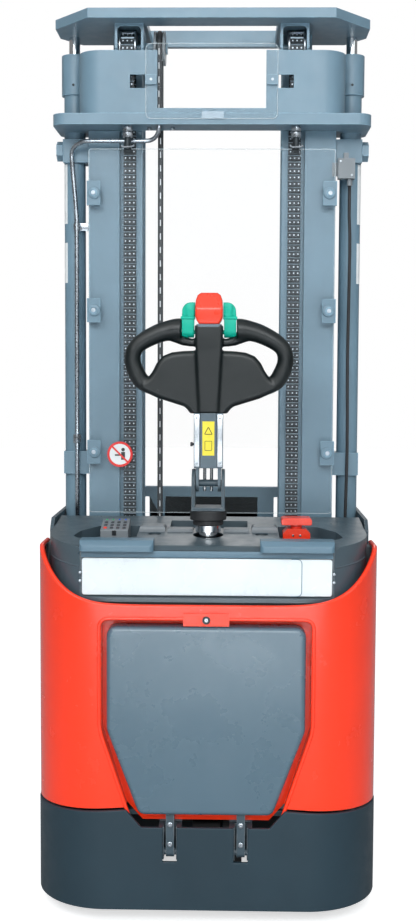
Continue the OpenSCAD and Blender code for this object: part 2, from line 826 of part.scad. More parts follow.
module inner_rollers() {
    color("gray") in_frame() pair() difference() {
        rod_x(mast_roller_r, [inner_out + 4, channel_out - web_t - 4], roller_y, 150);
        rod_x(axle_r + fit, [inner_out, channel_out], roller_y, 150);
    }
}

module grooved_pulley(x, root, rim, half, groove) {
    difference() {
        union() {
            rod_x(root, [x - half, x + half], pulley_y, pulley_z);
            rod_x(rim, [x - half, x - groove], pulley_y, pulley_z);
            rod_x(rim, [x + groove, x + half], pulley_y, pulley_z);
        }
        rod_x(pin_r + fit, [x - half - gap, x + half + gap], pulley_y, pulley_z);
    }
}

module chain_pulleys() {
    groove = chain_w / 2 + 1;
    color("silver") in_frame() pair() {
        grooved_pulley(chain_x, pulley_r - chain_t / 2 - 0.5, pulley_r + 7, groove + 4, groove);
    }
}

module hose_pulley() {
    color("gainsboro") in_frame() grooved_pulley(hose_x, pulley_r - hose_r - 0.5, pulley_r + 5, 14, hose_r + 1);
}

carriage_anchor_z = 500;

module lift_chains() {
    x = [chain_x - chain_w / 2, chain_x + chain_w / 2];
    inner = pulley_r - chain_t / 2;
    outer = pulley_r + chain_t / 2;
    color("dimgray") in_frame() pair() {
        block(x, [pulley_y - outer, pulley_y - inner], [mast_h + 28, pulley_z]);
        block(x, [pulley_y + inner, pulley_y + outer], [carriage_anchor_z, pulley_z]);
        difference() {
            rod_x(outer, x, pulley_y, pulley_z);
            rod_x(inner, [x[0] - gap, x[1] + gap], pulley_y, pulley_z);
            block([x[0] - gap, x[1] + gap], [pulley_y - 60, pulley_y + 60], [pulley_z - 60, pulley_z]);
        }
    }
}

module mast_hose() {
    color("black") in_frame() {
        rod_z(hose_r, hose_x, anchor_y, [mast_h + 6, pulley_z]);
        rod_z(hose_r, hose_x, pulley_y + pulley_r, [carriage_anchor_z, pulley_z]);
        translate([hose_x, pulley_y, pulley_z]) rotate([90, 0, 90])
            rotate_extrude(angle = 180) translate([pulley_r, 0]) circle(r = hose_r);
    }
}

// Carriage and forks

rail_z = [926, 953];
side_top = 540;

module carriage_frame() {
    x0 = side_plate_x - 14;
    chain_y = pulley_y + pulley_r;
    frame_y = [600, 625];
    color("dimgray") in_frame() {
        pair() block([x0, side_plate_x], [470, frame_y[0]], [120, side_top]);
        pair() rod_x(axle_r, [side_plate_x, inner_out - web_t - 6], roller_y, 460);
        pair() rod_x(axle_r, [side_plate_x, inner_out - web_t - 6], roller_y, 190);
        pair() block([x0, x0 + 18], [chain_y - 7, 480], [carriage_anchor_z - 30, carriage_anchor_z]);
        pair() block([x0, chain_x + chain_w / 2 + 3], [chain_y - 7, chain_y + 7],
            [carriage_anchor_z - 30, carriage_anchor_z]);
        block([hose_x - 20, hose_x + 12], [chain_y - 7, chain_y + 7],
            [carriage_anchor_z - 24, carriage_anchor_z]);
        block([-side_plate_x, hose_x], [chain_y - 7, chain_y + 7], [carriage_anchor_z - 24, carriage_anchor_z]);
        block([-(forks_over / 2), forks_over / 2], frame_y, rail_z);
        block([-(forks_over / 2), forks_over / 2], frame_y, [380, 430]);
        block([-(forks_over / 2), forks_over / 2], frame_y, [110, 170]);
        pair() block([x0 - 30, x0 + 14], frame_y, [170, rail_z[0]]);
    }
}

module forks() {
    inner = fork_w / 2 - 6;
    tip = fork_face + fork_len;
    blade = [fork_face - 65, tip];
    color("dimgray") in_frame() pair() translate([fork_x, 0, 0]) {
        intersection() {
            difference() {
                block([-fork_w / 2, fork_w / 2], [fork_face - 65, tip], [fork_top - 50, fork_top]);
                block([-inner, inner], [fork_face - 65 - over, tip - 40], [0, fork_top - 7]);
            }
            plan_prism(rounded([[-fork_w / 2, blade[0]], [fork_w / 2, blade[0]], [fork_w / 2, tip - 90],
                [40, tip], [-40, tip], [-fork_w / 2, tip - 90]], [1, 1, 40, 30, 30, 40]), [0, fork_top + over]);
            side_prism([[blade[0], 0], [tip - 160, 0], [tip, fork_top - 34], [tip, fork_top - 12],
                [tip - 60, fork_top], [blade[0], fork_top]], [-fork_w, fork_w]);
        }
        block([-fork_w / 2, fork_w / 2], [fork_face - 65, fork_face], [fork_top, 430]);
        side_prism([[fork_face, fork_top], [fork_face + 90, fork_top], [fork_face, 190]], [-fork_w / 2, -inner]);
        side_prism([[fork_face, fork_top], [fork_face + 90, fork_top], [fork_face, 190]], [inner, fork_w / 2]);
    }
}

module carriage_rollers(z) {
    color("gray") in_frame() pair() difference() {
        rod_x(fork_roller_r, [side_plate_x + 20, inner_out - web_t - 8], roller_y, z);
        rod_x(axle_r + fit, [side_plate_x, inner_out], roller_y, z);
    }
}

chassis_frame();
skirt();
rear_cover();
dashboard();
dashboard_pads();
service_panel();
keypad();
stop_base();
stop_knob();
cover_fasteners();
outer_channels();
outer_crosshead();
cylinder_barrels();
cylinder_clamps();
mast_shroud();
clear_guards();
guard_clips();
hydraulic_pipe();
limit_switch();
switch_cable();
chain_anchors();
battery();
power_pack();
motor_controller();
support_legs();
load_roller(-1);  // load_roller_left
load_roller(1);  // load_roller_right
caster_swivel(-1);  // caster_swivel_left
caster_swivel(1);  // caster_swivel_right
caster_wheel(-1);  // caster_wheel_left
caster_wheel(1);  // caster_wheel_right
drive_gearbox();
drive_motor();
drive_wheel();
steering_column();
tiller_boot();
tiller_bracket();
tiller_arm();
gas_springs();
creep_button();
tiller_head();
belly_button();
speed_wings();
lift_rocker();
horn_button();
platform_arms();
platform_panel();
inner_channels();
inner_crosshead();
pulley_brackets();
piston_rods();
inner_rollers();
chain_pulleys();
hose_pulley();
lift_chains();
mast_hose();
carriage_frame();
forks();
carriage_rollers(460);  // carriage_rollers_upper
carriage_rollers(190);  // carriage_rollers_lower
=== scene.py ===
from math import atan2, cos, pi, radians, sin, sqrt

import bmesh
import bpy
from bpy.props import FloatProperty, FloatVectorProperty, IntProperty, PointerProperty
from mathutils import Euler, Matrix, Vector


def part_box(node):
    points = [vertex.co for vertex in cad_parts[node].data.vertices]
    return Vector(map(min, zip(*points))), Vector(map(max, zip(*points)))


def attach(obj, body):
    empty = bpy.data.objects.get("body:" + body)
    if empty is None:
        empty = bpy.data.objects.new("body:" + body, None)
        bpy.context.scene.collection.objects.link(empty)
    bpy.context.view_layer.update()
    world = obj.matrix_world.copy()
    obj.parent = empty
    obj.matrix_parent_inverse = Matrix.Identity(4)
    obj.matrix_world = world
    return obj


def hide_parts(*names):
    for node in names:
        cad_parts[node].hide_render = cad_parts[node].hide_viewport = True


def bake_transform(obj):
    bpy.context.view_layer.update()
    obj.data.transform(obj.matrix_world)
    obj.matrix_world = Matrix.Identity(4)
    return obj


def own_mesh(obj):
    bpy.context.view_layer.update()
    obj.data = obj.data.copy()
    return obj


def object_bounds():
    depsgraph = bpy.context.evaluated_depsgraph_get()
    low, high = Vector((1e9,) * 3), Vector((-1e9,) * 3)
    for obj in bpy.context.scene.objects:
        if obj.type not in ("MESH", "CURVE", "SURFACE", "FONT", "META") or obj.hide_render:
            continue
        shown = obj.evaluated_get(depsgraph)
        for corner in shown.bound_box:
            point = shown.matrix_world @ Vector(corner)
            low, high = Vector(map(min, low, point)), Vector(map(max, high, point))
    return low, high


bl_info = {
    "name": "Stand-on stacker",
    "version": (1, 0, 0),
    "blender": (4, 5, 0),
    "location": "3D View > Sidebar > Stacker",
    "description": "Finishes the packed stacker truck: covers, tiller, mast, chains, hoses and stage",
    "category": "Object",
}

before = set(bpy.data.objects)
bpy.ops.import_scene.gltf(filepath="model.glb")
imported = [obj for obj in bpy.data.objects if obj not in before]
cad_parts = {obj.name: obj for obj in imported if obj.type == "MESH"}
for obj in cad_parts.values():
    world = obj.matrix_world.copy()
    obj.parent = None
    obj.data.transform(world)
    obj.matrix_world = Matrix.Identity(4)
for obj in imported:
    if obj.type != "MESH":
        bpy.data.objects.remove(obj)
cad_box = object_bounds()
REAR_FACE = cad_box[0].y
MM = 0.001
REARWARD = Vector((0, -1, 0))
UPWARD = Vector((0, 0, 1))
BOTH = (-1, 1)
# Shared sizes: the pulleys' radius in metres, the others in the truck's own millimetres
PULLEY_R = 36 * MM
ANCHOR_Y = 366
ANCHOR_X = 208
PIPE_X = -343
CYLINDER_X = 352
HOSE_ANCHOR_Z = 1902


def at(x, y, z):
    """Point in the truck's own millimetres: x to the right, y from the rear face, z from the floor."""
    return Vector((x * MM, y * MM + REAR_FACE, z * MM))


def middle(part):
    low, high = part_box(part)
    return (low + high) / 2


# Finishes

def shade(colour, factor):
    return tuple(min(1.0, c * factor) for c in colour)


def feed(tree, made, values):
    """Set each input of a node, or link it from a socket."""
    for key, value in values.items():
        if isinstance(value, bpy.types.NodeSocket):
            tree.links.new(value, made.inputs[key])
        else:
            made.inputs[key].default_value = value


def node(tree, kind, values, **settings):
    """Add a shader node with its settings and inputs."""
    made = tree.nodes.new(f"ShaderNode{kind}")
    for key, value in settings.items():
        setattr(made, key, value)
    feed(tree, made, values)
    return made


def noise(tree, place, scale, detail):
    spot = node(tree, "TexNoise", {"Scale": scale, "Detail": detail, "Roughness": 0.55, "Vector": place})
    return spot.outputs["Fac"]


def remap(tree, value, low, high, to_low, to_high):
    return node(tree, "MapRange", {"From Min": low, "From Max": high, "To Min": to_low, "To Max": to_high,
                                   "Value": value}).outputs["Result"]


def blended(tree, factor, first, second):
    """Mix of two colours, each a colour or a socket."""
    first, second = ((*value, 1) if isinstance(value, tuple) else value for value in (first, second))
    made = node(tree, "Mix", {"Factor": factor, "A": first, "B": second}, data_type="RGBA")
    return made.outputs["Result"]


def surface(name, colour, rough, metal=0.0, mottle=0.1, cloud=6.0, grain=0.0, grain_size=900.0, edge_highlight_and_wear=0.0,
            edge_highlight_and_wear_colour=None, coat=0.0, stretch=(1, 1, 1), spread=0.07, alpha=1.0, ripple=0.0, ripple_size=30.0,
            glow=0.0, shine=0.5):
    """Node finish: cloudy colour, fine grain, uneven gloss, and pale edges that are partly a painted edge highlight and
    partly wear.
    """
    name = f"finish_{name}"
    made = bpy.data.materials.get(name)
    if made:
        return made
    made = bpy.data.materials.new(name)
    made.use_nodes = True
    made.diffuse_color = (*colour, 1)
    tree = made.node_tree
    shader = tree.nodes["Principled BSDF"]
    feed(tree, shader, {"Metallic": metal, "Coat Weight": coat, "Specular IOR Level": shine,
                        "Coat Roughness": 0.06, "Alpha": alpha})
    if glow:
        feed(tree, shader, {"Emission Color": (1, 1, 1, 1), "Emission Strength": glow})
    source = node(tree, "TexCoord", {}).outputs["Object"]
    place = node(tree, "Mapping", {"Scale": stretch, "Vector": source}).outputs["Vector"]
    tone = blended(tree, remap(tree, noise(tree, place, cloud, 5), 0.3, 0.7, 0, 1),
                   shade(colour, 1 - mottle), shade(colour, 1 + mottle))
    # Paler edges: a painted highlight along the edges, broken up by noise like wear.
    if edge_highlight_and_wear:
        edge = node(tree, "NewGeometry", {}).outputs["Normal"]
        soft = node(tree, "Bevel", {"Radius": 0.0025}, samples=4).outputs["Normal"]
        turned = node(tree, "VectorMath", {0: edge, 1: soft}, operation="DOT_PRODUCT").outputs["Value"]
        edge_highlight_and_rub = node(tree, "Math", {0: remap(tree, turned, 0.995, 0.90, 0, edge_highlight_and_wear),
                                  1: remap(tree, noise(tree, place, 60, 4), 0.35, 0.6, 0.2, 1)},
                   operation="MULTIPLY").outputs["Value"]
        tone = blended(tree, edge_highlight_and_rub, tone, edge_highlight_and_wear_colour or shade(colour, 2.2))
    gloss = remap(tree, noise(tree, place, cloud * 5, 5), 0.3, 0.7, max(0.03, rough - spread), rough + spread)
    feed(tree, shader, {"Base Color": tone, "Roughness": gloss})
    if grain or ripple:
        height = noise(tree, place, grain_size if grain else ripple_size, 3)
        bump = node(tree, "Bump", {"Strength": grain or ripple, "Distance": 0.0006 if grain else 0.002,
                                   "Height": height})
        feed(tree, shader, {"Normal": bump.outputs["Normal"]})
    return made


def dashed(made, width, share, colour, facing):
    """Bands up a finish where it faces the rear, such as the dashes printed on a hose."""
    tree = made.node_tree
    base = tree.nodes["Principled BSDF"].inputs["Base Color"]

    def math(operation, first, second):
        return node(tree, "Math", {0: first, 1: second}, operation=operation).outputs["Value"]

    def part(vector, axis):
        return node(tree, "SeparateXYZ", {"Vector": vector}).outputs[axis]

    height = part(node(tree, "TexCoord", {}).outputs["Object"], "Z")
    normal_y = part(node(tree, "NewGeometry", {}).outputs["Normal"], "Y")
    band = math("LESS_THAN", math("FRACT", math("DIVIDE", height, width), 0), share)
    band = math("MULTIPLY", band, math("LESS_THAN", normal_y, facing))
    tree.links.new(blended(tree, band, base.links[0].from_socket, colour), base)


# Settings

def tint(name, description, default):
    return FloatVectorProperty(name=name, description=description, subtype="COLOR", size=3, min=0, max=1,
                               default=default)


class StackerLook(bpy.types.PropertyGroup):
    """Colours of the truck."""
    cover: tint("Cover", "Painted rear cover", (0.95, 0.040, 0.008))
    plastic: tint("Plastic", "Skirt", (0.017, 0.036, 0.050))
    lid: tint("Lid", "Dashboard lid", (0.055, 0.085, 0.105))
    mast: tint("Mast", "Mast and cylinder paint", (0.150, 0.245, 0.315))
    pad: tint("Pads", "Dashboard pads and platform", (0.095, 0.180, 0.245))
    button: tint("Safety button", "Reversing button and stop knob", (0.85, 0.045, 0.015))
    wing: tint("Speed wings", "Speed control wings", (0.0, 0.43, 0.30))


class StackerSizes(bpy.types.PropertyGroup):
    """Sizes of the details laid over the frame."""
    lip: FloatProperty(name="Cover lip", description="Radius of the cover's rolled top edge", unit="LENGTH",
                       default=0.006, min=0.003, max=0.008)
    panel_edge: FloatProperty(name="Panel edge", description="Rounding of the platform panel's edge",
                              unit="LENGTH", default=0.011, min=0.004, max=0.014)
    head_voxel: FloatProperty(name="Tiller head detail", description="Voxel size of the moulded tiller head",
                              unit="LENGTH", default=0.0024, min=0.0018, max=0.004)
    chain_rows: IntProperty(name="Chain rows", description="Link rows in each long chain run", default=98,
                            min=40, max=120)


def look():
    return bpy.context.scene.stacker_look


def sizes():
    return bpy.context.scene.stacker_sizes


def finishes():
    """All finishes by name, made from the colours in the sidebar."""
    c = look()
    # The pale edge colours below are partly a painted edge highlight and partly wear.
    steel_edge_highlight_and_wear = (0.35, 0.36, 0.37)
    table = {
        "charcoal_plastic": dict(colour=tuple(c.plastic), rough=0.46, shine=0.3, grain=0.25,
                                 grain_size=1400, mottle=0.08, edge_highlight_and_wear=0.35, edge_highlight_and_wear_colour=shade(c.plastic, 2.6)),
        "red_paint": dict(colour=tuple(c.cover), rough=0.24, shine=0.4, coat=0.4, mottle=0.035, cloud=3, spread=0.05,
                          ripple=0.05, ripple_size=14, edge_highlight_and_wear=0.25, edge_highlight_and_wear_colour=(0.95, 0.22, 0.12)),
        "mast_paint": dict(colour=tuple(c.mast), rough=0.38, grain=0.12, grain_size=420, mottle=0.09,
                           edge_highlight_and_wear=0.5, edge_highlight_and_wear_colour=shade(c.mast, 3.2)),
        "panel_plastic": dict(colour=shade(c.pad, 0.68), rough=0.28, shine=1.0, grain=0.2, grain_size=1100,
                              cloud=2.5, mottle=0.03, edge_highlight_and_wear=0.3, edge_highlight_and_wear_colour=shade(c.pad, 2.0)),
        "lid_plastic": dict(colour=tuple(c.lid), rough=0.34, shine=0.8, grain=0.25, grain_size=1400, mottle=0.06,
                            edge_highlight_and_wear=0.3, edge_highlight_and_wear_colour=shade(c.lid, 2.2)),
        "steel_paint": dict(colour=shade(c.mast, 0.3), rough=0.45, grain=0.2, grain_size=420, mottle=0.12,
                            edge_highlight_and_wear=0.6, edge_highlight_and_wear_colour=steel_edge_highlight_and_wear),
        "pad_plastic": dict(colour=tuple(c.pad), rough=0.42, grain=0.3, grain_size=1100, mottle=0.05, shine=0.7,
                            edge_highlight_and_wear=0.3, edge_highlight_and_wear_colour=shade(c.pad, 2.0)),
        "zinc": dict(colour=(0.42, 0.46, 0.50), rough=0.30, metal=1.0, mottle=0.14, cloud=40, spread=0.1,
                     grain=0.06, grain_size=600),
        "chrome_rod": dict(colour=(0.72, 0.74, 0.76), rough=0.10, metal=1.0, mottle=0.04, spread=0.04,
                           stretch=(30, 30, 1), cloud=5),
        "chain_steel": dict(colour=(0.018, 0.026, 0.032), rough=0.42, metal=0.3, mottle=0.3, cloud=90,
                            grain=0.1, grain_size=900),
        # Pale steel, also used on the chain links as painted highlight dots.
        "pale_steel_and_highlight": dict(colour=(0.50, 0.56, 0.62), rough=0.40, metal=0.3, mottle=0.2, cloud=90),
        "chain_seam": dict(colour=(0.42, 0.52, 0.60), rough=0.40, metal=0.4, mottle=0.2, cloud=90),
        "grey_plastic": dict(colour=(0.20, 0.225, 0.245), rough=0.42, grain=0.2, grain_size=1300, mottle=0.07,
                             edge_highlight_and_wear=0.3),
        "light_panel": dict(colour=(0.68, 0.74, 0.77), rough=0.26, mottle=0.03, cloud=3, coat=0.25,
                            edge_highlight_and_wear=0.2, edge_highlight_and_wear_colour=(0.9, 0.92, 0.93)),
        "clear_plastic": dict(colour=(0.72, 0.82, 0.88), rough=0.07, mottle=0.05, cloud=4, alpha=0.02),
        "tape": dict(colour=(0.55, 0.68, 0.78), rough=0.30, mottle=0.1, cloud=60, alpha=0.45),
        "clear_edge": dict(colour=(0.72, 0.82, 0.86), rough=0.12, mottle=0.05, cloud=4, alpha=0.30),
        "black_rubber": dict(colour=(0.018, 0.019, 0.021), rough=0.60, grain=0.4, grain_size=700, mottle=0.2),
        "black_plastic": dict(colour=(0.014, 0.017, 0.021), rough=0.33, grain=0.22, grain_size=1500,
                              mottle=0.1, edge_highlight_and_wear=0.3, edge_highlight_and_wear_colour=(0.06, 0.07, 0.08)),
        "head_plastic": dict(colour=(0.002, 0.006, 0.007), shine=0.5, rough=0.36, grain=0.3, grain_size=1300,
                             mottle=0.1),
        "tread": dict(colour=(0.03, 0.03, 0.032), rough=0.66, grain=0.5, grain_size=320, mottle=0.25),
        "roller_pu": dict(colour=(0.62, 0.40, 0.12), rough=0.42, grain=0.1, grain_size=300, mottle=0.15),
        "red_plastic": dict(colour=tuple(c.button), rough=0.30, grain=0.1, grain_size=1500, mottle=0.05,
                            coat=0.2),
        "green_plastic": dict(colour=tuple(c.wing), rough=0.38, shine=0.3, grain=0.12, grain_size=1500,
                              mottle=0.06),
        "cast_grey": dict(colour=(0.13, 0.14, 0.15), rough=0.58, metal=0.3, grain=0.7, grain_size=260,
                          mottle=0.18),
        "aluminium": dict(colour=(0.62, 0.66, 0.70), rough=0.32, metal=1.0, mottle=0.08,
                          stretch=(1, 1, 20), cloud=30, grain=0.05, grain_size=300),
        "arm_paint": dict(colour=(0.115, 0.155, 0.185), rough=0.34, metal=0.35, mottle=0.08, grain=0.1,
                          grain_size=700, edge_highlight_and_wear=0.4, edge_highlight_and_wear_colour=(0.4, 0.45, 0.5)),
        "roller_steel": dict(colour=(0.42, 0.45, 0.48), rough=0.30, metal=1.0, mottle=0.15, cloud=30),
        "label_white": dict(colour=(0.80, 0.83, 0.84), rough=0.40, mottle=0.04, cloud=60),
        "label_yellow": dict(colour=(0.86, 0.72, 0.05), rough=0.38, mottle=0.05, cloud=60),
        "label_black": dict(colour=(0.02, 0.02, 0.02), rough=0.45, mottle=0.1, cloud=60),
        "label_red": dict(colour=(0.75, 0.02, 0.015), rough=0.38, mottle=0.05, cloud=60),
        "led_green": dict(colour=(0.02, 0.55, 0.20), rough=0.2, mottle=0.05, coat=0.5),
        "led_blue": dict(colour=(0.03, 0.14, 0.75), rough=0.2, mottle=0.05, coat=0.5),
        "key_dark": dict(colour=(0.05, 0.06, 0.07), rough=0.5, grain=0.2, grain_size=1500, mottle=0.1),
    }
    return {name: surface(name, **values) for name, values in table.items()}


def coat_with(piece, finish):
    piece.data.materials.clear()
    piece.data.materials.append(finishes()[finish])


# Shaping

def free():
    """Leave edit mode and let go of every object."""
    if bpy.context.object and bpy.context.object.mode != "OBJECT":
        bpy.ops.object.mode_set(mode="OBJECT")
    bpy.ops.object.select_all(action="DESELECT")


def hold(*pieces):
    free()
    for piece in pieces:
        piece.select_set(True)
    bpy.context.view_layer.objects.active = pieces[0]


def settle(piece, name=None):
    """Put the object at the origin with its place in its mesh."""
    hold(piece)
    bpy.ops.object.transform_apply(location=True, rotation=True, scale=True)
    if name:
        piece.name = name
        piece.data.name = name
    return piece


def block(name, low, high):
    """Box between two corners."""
    free()
    bpy.ops.mesh.primitive_cube_add(size=1, location=(low + high) / 2)
    piece = bpy.context.object
    piece.scale = high - low
    return settle(piece, name)


def rod(name, start, end, radius, sides=32):
    """Round bar from start to end."""
    free()
    along = end - start
    bpy.ops.mesh.primitive_cylinder_add(vertices=sides, radius=radius, depth=along.length,
                                        location=(start + end) / 2,
                                        rotation=along.to_track_quat("Z", "Y").to_euler())
    return settle(bpy.context.object, name)


def plate(name, outline, depth):
    """Flat outline, given as points in order, thickened along depth."""
    free()
    bpy.ops.mesh.primitive_circle_add(vertices=len(outline), radius=1, fill_type="NGON")
    piece = bpy.context.object
    for corner, point in zip(piece.data.vertices, outline):
        corner.co = point
    pick(piece, "FACE", lambda face: True)
    bpy.ops.mesh.extrude_region_move(TRANSFORM_OT_translate={"value": depth})
    bpy.ops.mesh.select_all(action="SELECT")
    bpy.ops.mesh.normals_make_consistent(inside=False)
    free()
    return settle(piece, name)


def pick(piece, kind, test):
    """Enter edit mode with only the faces, edges or corners that pass the test selected."""
    hold(piece)
    bpy.ops.object.mode_set(mode="EDIT")
    bpy.ops.mesh.select_mode(type=kind)
    bpy.ops.mesh.select_all(action="DESELECT")
    mesh = bmesh.from_edit_mesh(piece.data)
    for part in {"FACE": mesh.faces, "EDGE": mesh.edges, "VERT": mesh.verts}[kind]:
        if test(part):
            part.select_set(True)
    mesh.select_flush_mode()
    bmesh.update_edit_mesh(piece.data)


def edge_middle(edge):
    return (edge.verts[0].co + edge.verts[1].co) / 2


def sharp(edge, angle=30):
    return len(edge.link_faces) == 2 and edge.calc_face_angle(0) > radians(angle)


def round_edges(piece, width, segments=3, test=None, angle=30):
    """Bevel the sharp edges that pass the test."""
    pick(piece, "EDGE", lambda edge: sharp(edge, angle) and (test is None or test(edge)))
    bpy.ops.mesh.bevel(offset=width, segments=segments, profile=0.5, affect="EDGES", clamp_overlap=True)
    free()
    return piece


def modify(piece, kind, **values):
    """Add a modifier and apply it."""
    hold(piece)
    made = piece.modifiers.new(kind.title(), kind)
    for key, value in values.items():
        setattr(made, key, value)
    bpy.ops.object.modifier_apply(modifier=made.name)
    return piece


def smooth(piece, angle=35):
    hold(piece)
    bpy.ops.object.shade_smooth_by_angle(angle=radians(angle))
    return piece


def copy_of(piece, name, shift=(0, 0, 0), turn=None):
    """Own copy with its own mesh, moved and settled."""
    made = bpy.data.objects.new(name, piece.data.copy())
    made.data.name = name
    bpy.context.scene.collection.objects.link(made)
    if turn is not None:
        made.data.transform(turn)
    made.data.transform(Matrix.Translation(Vector(shift)))
    return made


def mirrored_copy(piece, name):
    """Copy on the other side of the truck, its faces turned outwards again."""
    made = copy_of(piece, name, turn=Matrix.Diagonal((-1, 1, 1, 1)))
    made.data.flip_normals()
    return made


def joined(name, pieces):
    hold(*pieces)
    if len(pieces) > 1:
        bpy.ops.object.join()
    made = bpy.context.object
    made.name = name
    made.data.name = name
    return made


def merged_copy(part, name):
    """Copy of a CAD node with its loose triangles merged and its flat faces made whole."""
    made = copy_of(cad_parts[part], name)
    made.data.materials.clear()
    pick(made, "VERT", lambda corner: True)
    bpy.ops.mesh.customdata_custom_splitnormals_clear()
    bpy.ops.mesh.remove_doubles(threshold=0.00002)
    bpy.ops.mesh.select_all(action="SELECT")
    bpy.ops.mesh.dissolve_limited(angle_limit=radians(0.5))
    free()
    return made


def tube(name, route, radius, sides=16, closed=False, swell=None):
    """Round tube along a route of points, made a mesh; swell scales its radius at each point."""
    curve = bpy.data.curves.new(name, "CURVE")
    curve.dimensions = "3D"
    curve.bevel_depth = radius
    curve.bevel_resolution = max(0, sides // 4 - 1)
    curve.use_fill_caps = True
    line = curve.splines.new("POLY")
    line.points.add(len(route) - 1)
    for spot, point in zip(line.points, route):
        spot.co = (*point, 1)
    for spot, share in zip(line.points, swell or ()):
        spot.radius = share
    line.use_cyclic_u = closed
    piece = bpy.data.objects.new(name, curve)
    bpy.context.scene.collection.objects.link(piece)
    hold(piece)
    bpy.ops.object.convert(target="MESH")
    piece = bpy.context.object
    pick(piece, "VERT", lambda corner: True)
    bpy.ops.mesh.remove_doubles(threshold=0.00001)
    bpy.ops.mesh.select_all(action="SELECT")
    bpy.ops.mesh.normals_make_consistent(inside=False)
    free()
    piece.name = name
    return smooth(piece, 50)


def rounded_line(points, radius, steps=6, closed=True):
    """Points in a plane with every corner rounded."""
    made = []
    count = len(points)
    for i, here in enumerate(points):
        if not closed and i in (0, count - 1):
            made.append(Vector(here))
            continue
        here = Vector(here)
        before = (Vector(points[i - 1]) - here)
        after = (Vector(points[(i + 1) % count]) - here)
        cut = min(radius, before.length / 2.05, after.length / 2.05)
        first = here + before.normalized() * cut
        last = here + after.normalized() * cut
        for k in range(steps + 1):
            t = k / steps
            made.append(first * (1 - t) ** 2 + here * 2 * t * (1 - t) + last * t * t)
    return made


def finish_piece(piece, finish, body, replaces=()):
    """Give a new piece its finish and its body."""
    if finish:
        coat_with(piece, finish)
    if body:
        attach(piece, body)
    if replaces:
        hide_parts(*replaces)
    return piece


def dress(part, finish, edge, segments=2):
    """Finish on a CAD node, with its edges rounded by live modifiers; its own mesh stays as it is."""
    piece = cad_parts[part]
    coat_with(piece, finish)
    hold(piece)
    bpy.ops.mesh.customdata_custom_splitnormals_clear()
    bpy.ops.object.shade_smooth()
    weld = piece.modifiers.new("Merge", "WELD")
    weld.merge_threshold = 0.00002
    if edge:
        flat = piece.modifiers.new("Flat faces", "DECIMATE")
        flat.decimate_type = "DISSOLVE"
        flat.angle_limit = radians(0.5)
        rim = piece.modifiers.new("Edges", "BEVEL")
        rim.limit_method = "ANGLE"
        rim.angle_limit = radians(30)
        rim.width = edge * MM
        rim.segments = segments
        rim.use_clamp_overlap = True
        rim.harden_normals = True
        rim.miter_outer = "MITER_ARC"


def screw_head(name, centre, out, radius, tall):
    """Small domed screw with a hex socket, facing along out."""
    piece = rod(name, centre, centre + out * tall * MM, radius * MM, 20)
    round_edges(piece, min(radius, tall) * 0.3 * MM, 2)
    least = 3 * (MM * radius * 0.5) ** 2
    pick(piece, "FACE", lambda face: face.normal.dot(out) > 0.95 and face.calc_area() > least)
    bpy.ops.mesh.inset(thickness=radius * 0.45 * MM)
    bpy.ops.mesh.extrude_region_move(TRANSFORM_OT_translate={"value": out * (-tall * 0.45 * MM)})
    free()
    return smooth(piece)


def screws(spots, radius, tall, out=REARWARD):
    """Like screws, each at a place in the truck's millimetres."""
    return [screw_head("screw", at(*spot), out, radius, tall) for spot in spots]


def hex_nut(spot, across, tall):
    """Upright hexagon nut on a place in the truck's millimetres."""
    piece = rod("nut", at(*spot), at(*spot) + UPWARD * tall * MM, across / sqrt(3) * MM, 6)
    return smooth(round_edges(piece, 0.8 * MM, 2))


# Pieces

# The cover in millimetres: its top edge in the middle, that edge's rise to the sides, its half width, its
# corners' radius and its rear face
RED_TOP = 737
RED_RISE = 118
HALF = 400
CORNER = 170
COVER_Y = 12


def cover_point(x, inset, z):
    """Point on the cover's outside, inset into its wall, at a distance x from the middle."""
    side = 1 if x >= 0 else -1
    reach = abs(x)
    straight = HALF - CORNER
    if reach <= straight:
        return at(x, COVER_Y + inset, z)
    angle = (reach - straight) / CORNER
    radius = CORNER - inset
    return at(side * (straight + radius * sin(angle)), COVER_Y + CORNER - radius * cos(angle), z)


def cover_lip_route(inset):
    """Route of the rolled edge: up the sides and across in a wide U."""
    straight = HALF - CORNER
    end = straight + CORNER * pi / 2
    steps = 72
    route = []
    for i in range(-steps, steps + 1):
        x = end * i / steps
        reach = abs(x)
        real = reach if reach <= straight else straight + CORNER * sin((reach - straight) / CORNER)
        height = RED_TOP + RED_RISE * (real / HALF) ** 6.5
        route.append(cover_point(x, inset, height - 2))
    tail = [at(-(HALF - inset), y, RED_TOP + RED_RISE - 2) for y in (258, 220)]
    head = [at(HALF - inset, y, RED_TOP + RED_RISE - 2) for y in (220, 258)]
    return tail + route + head


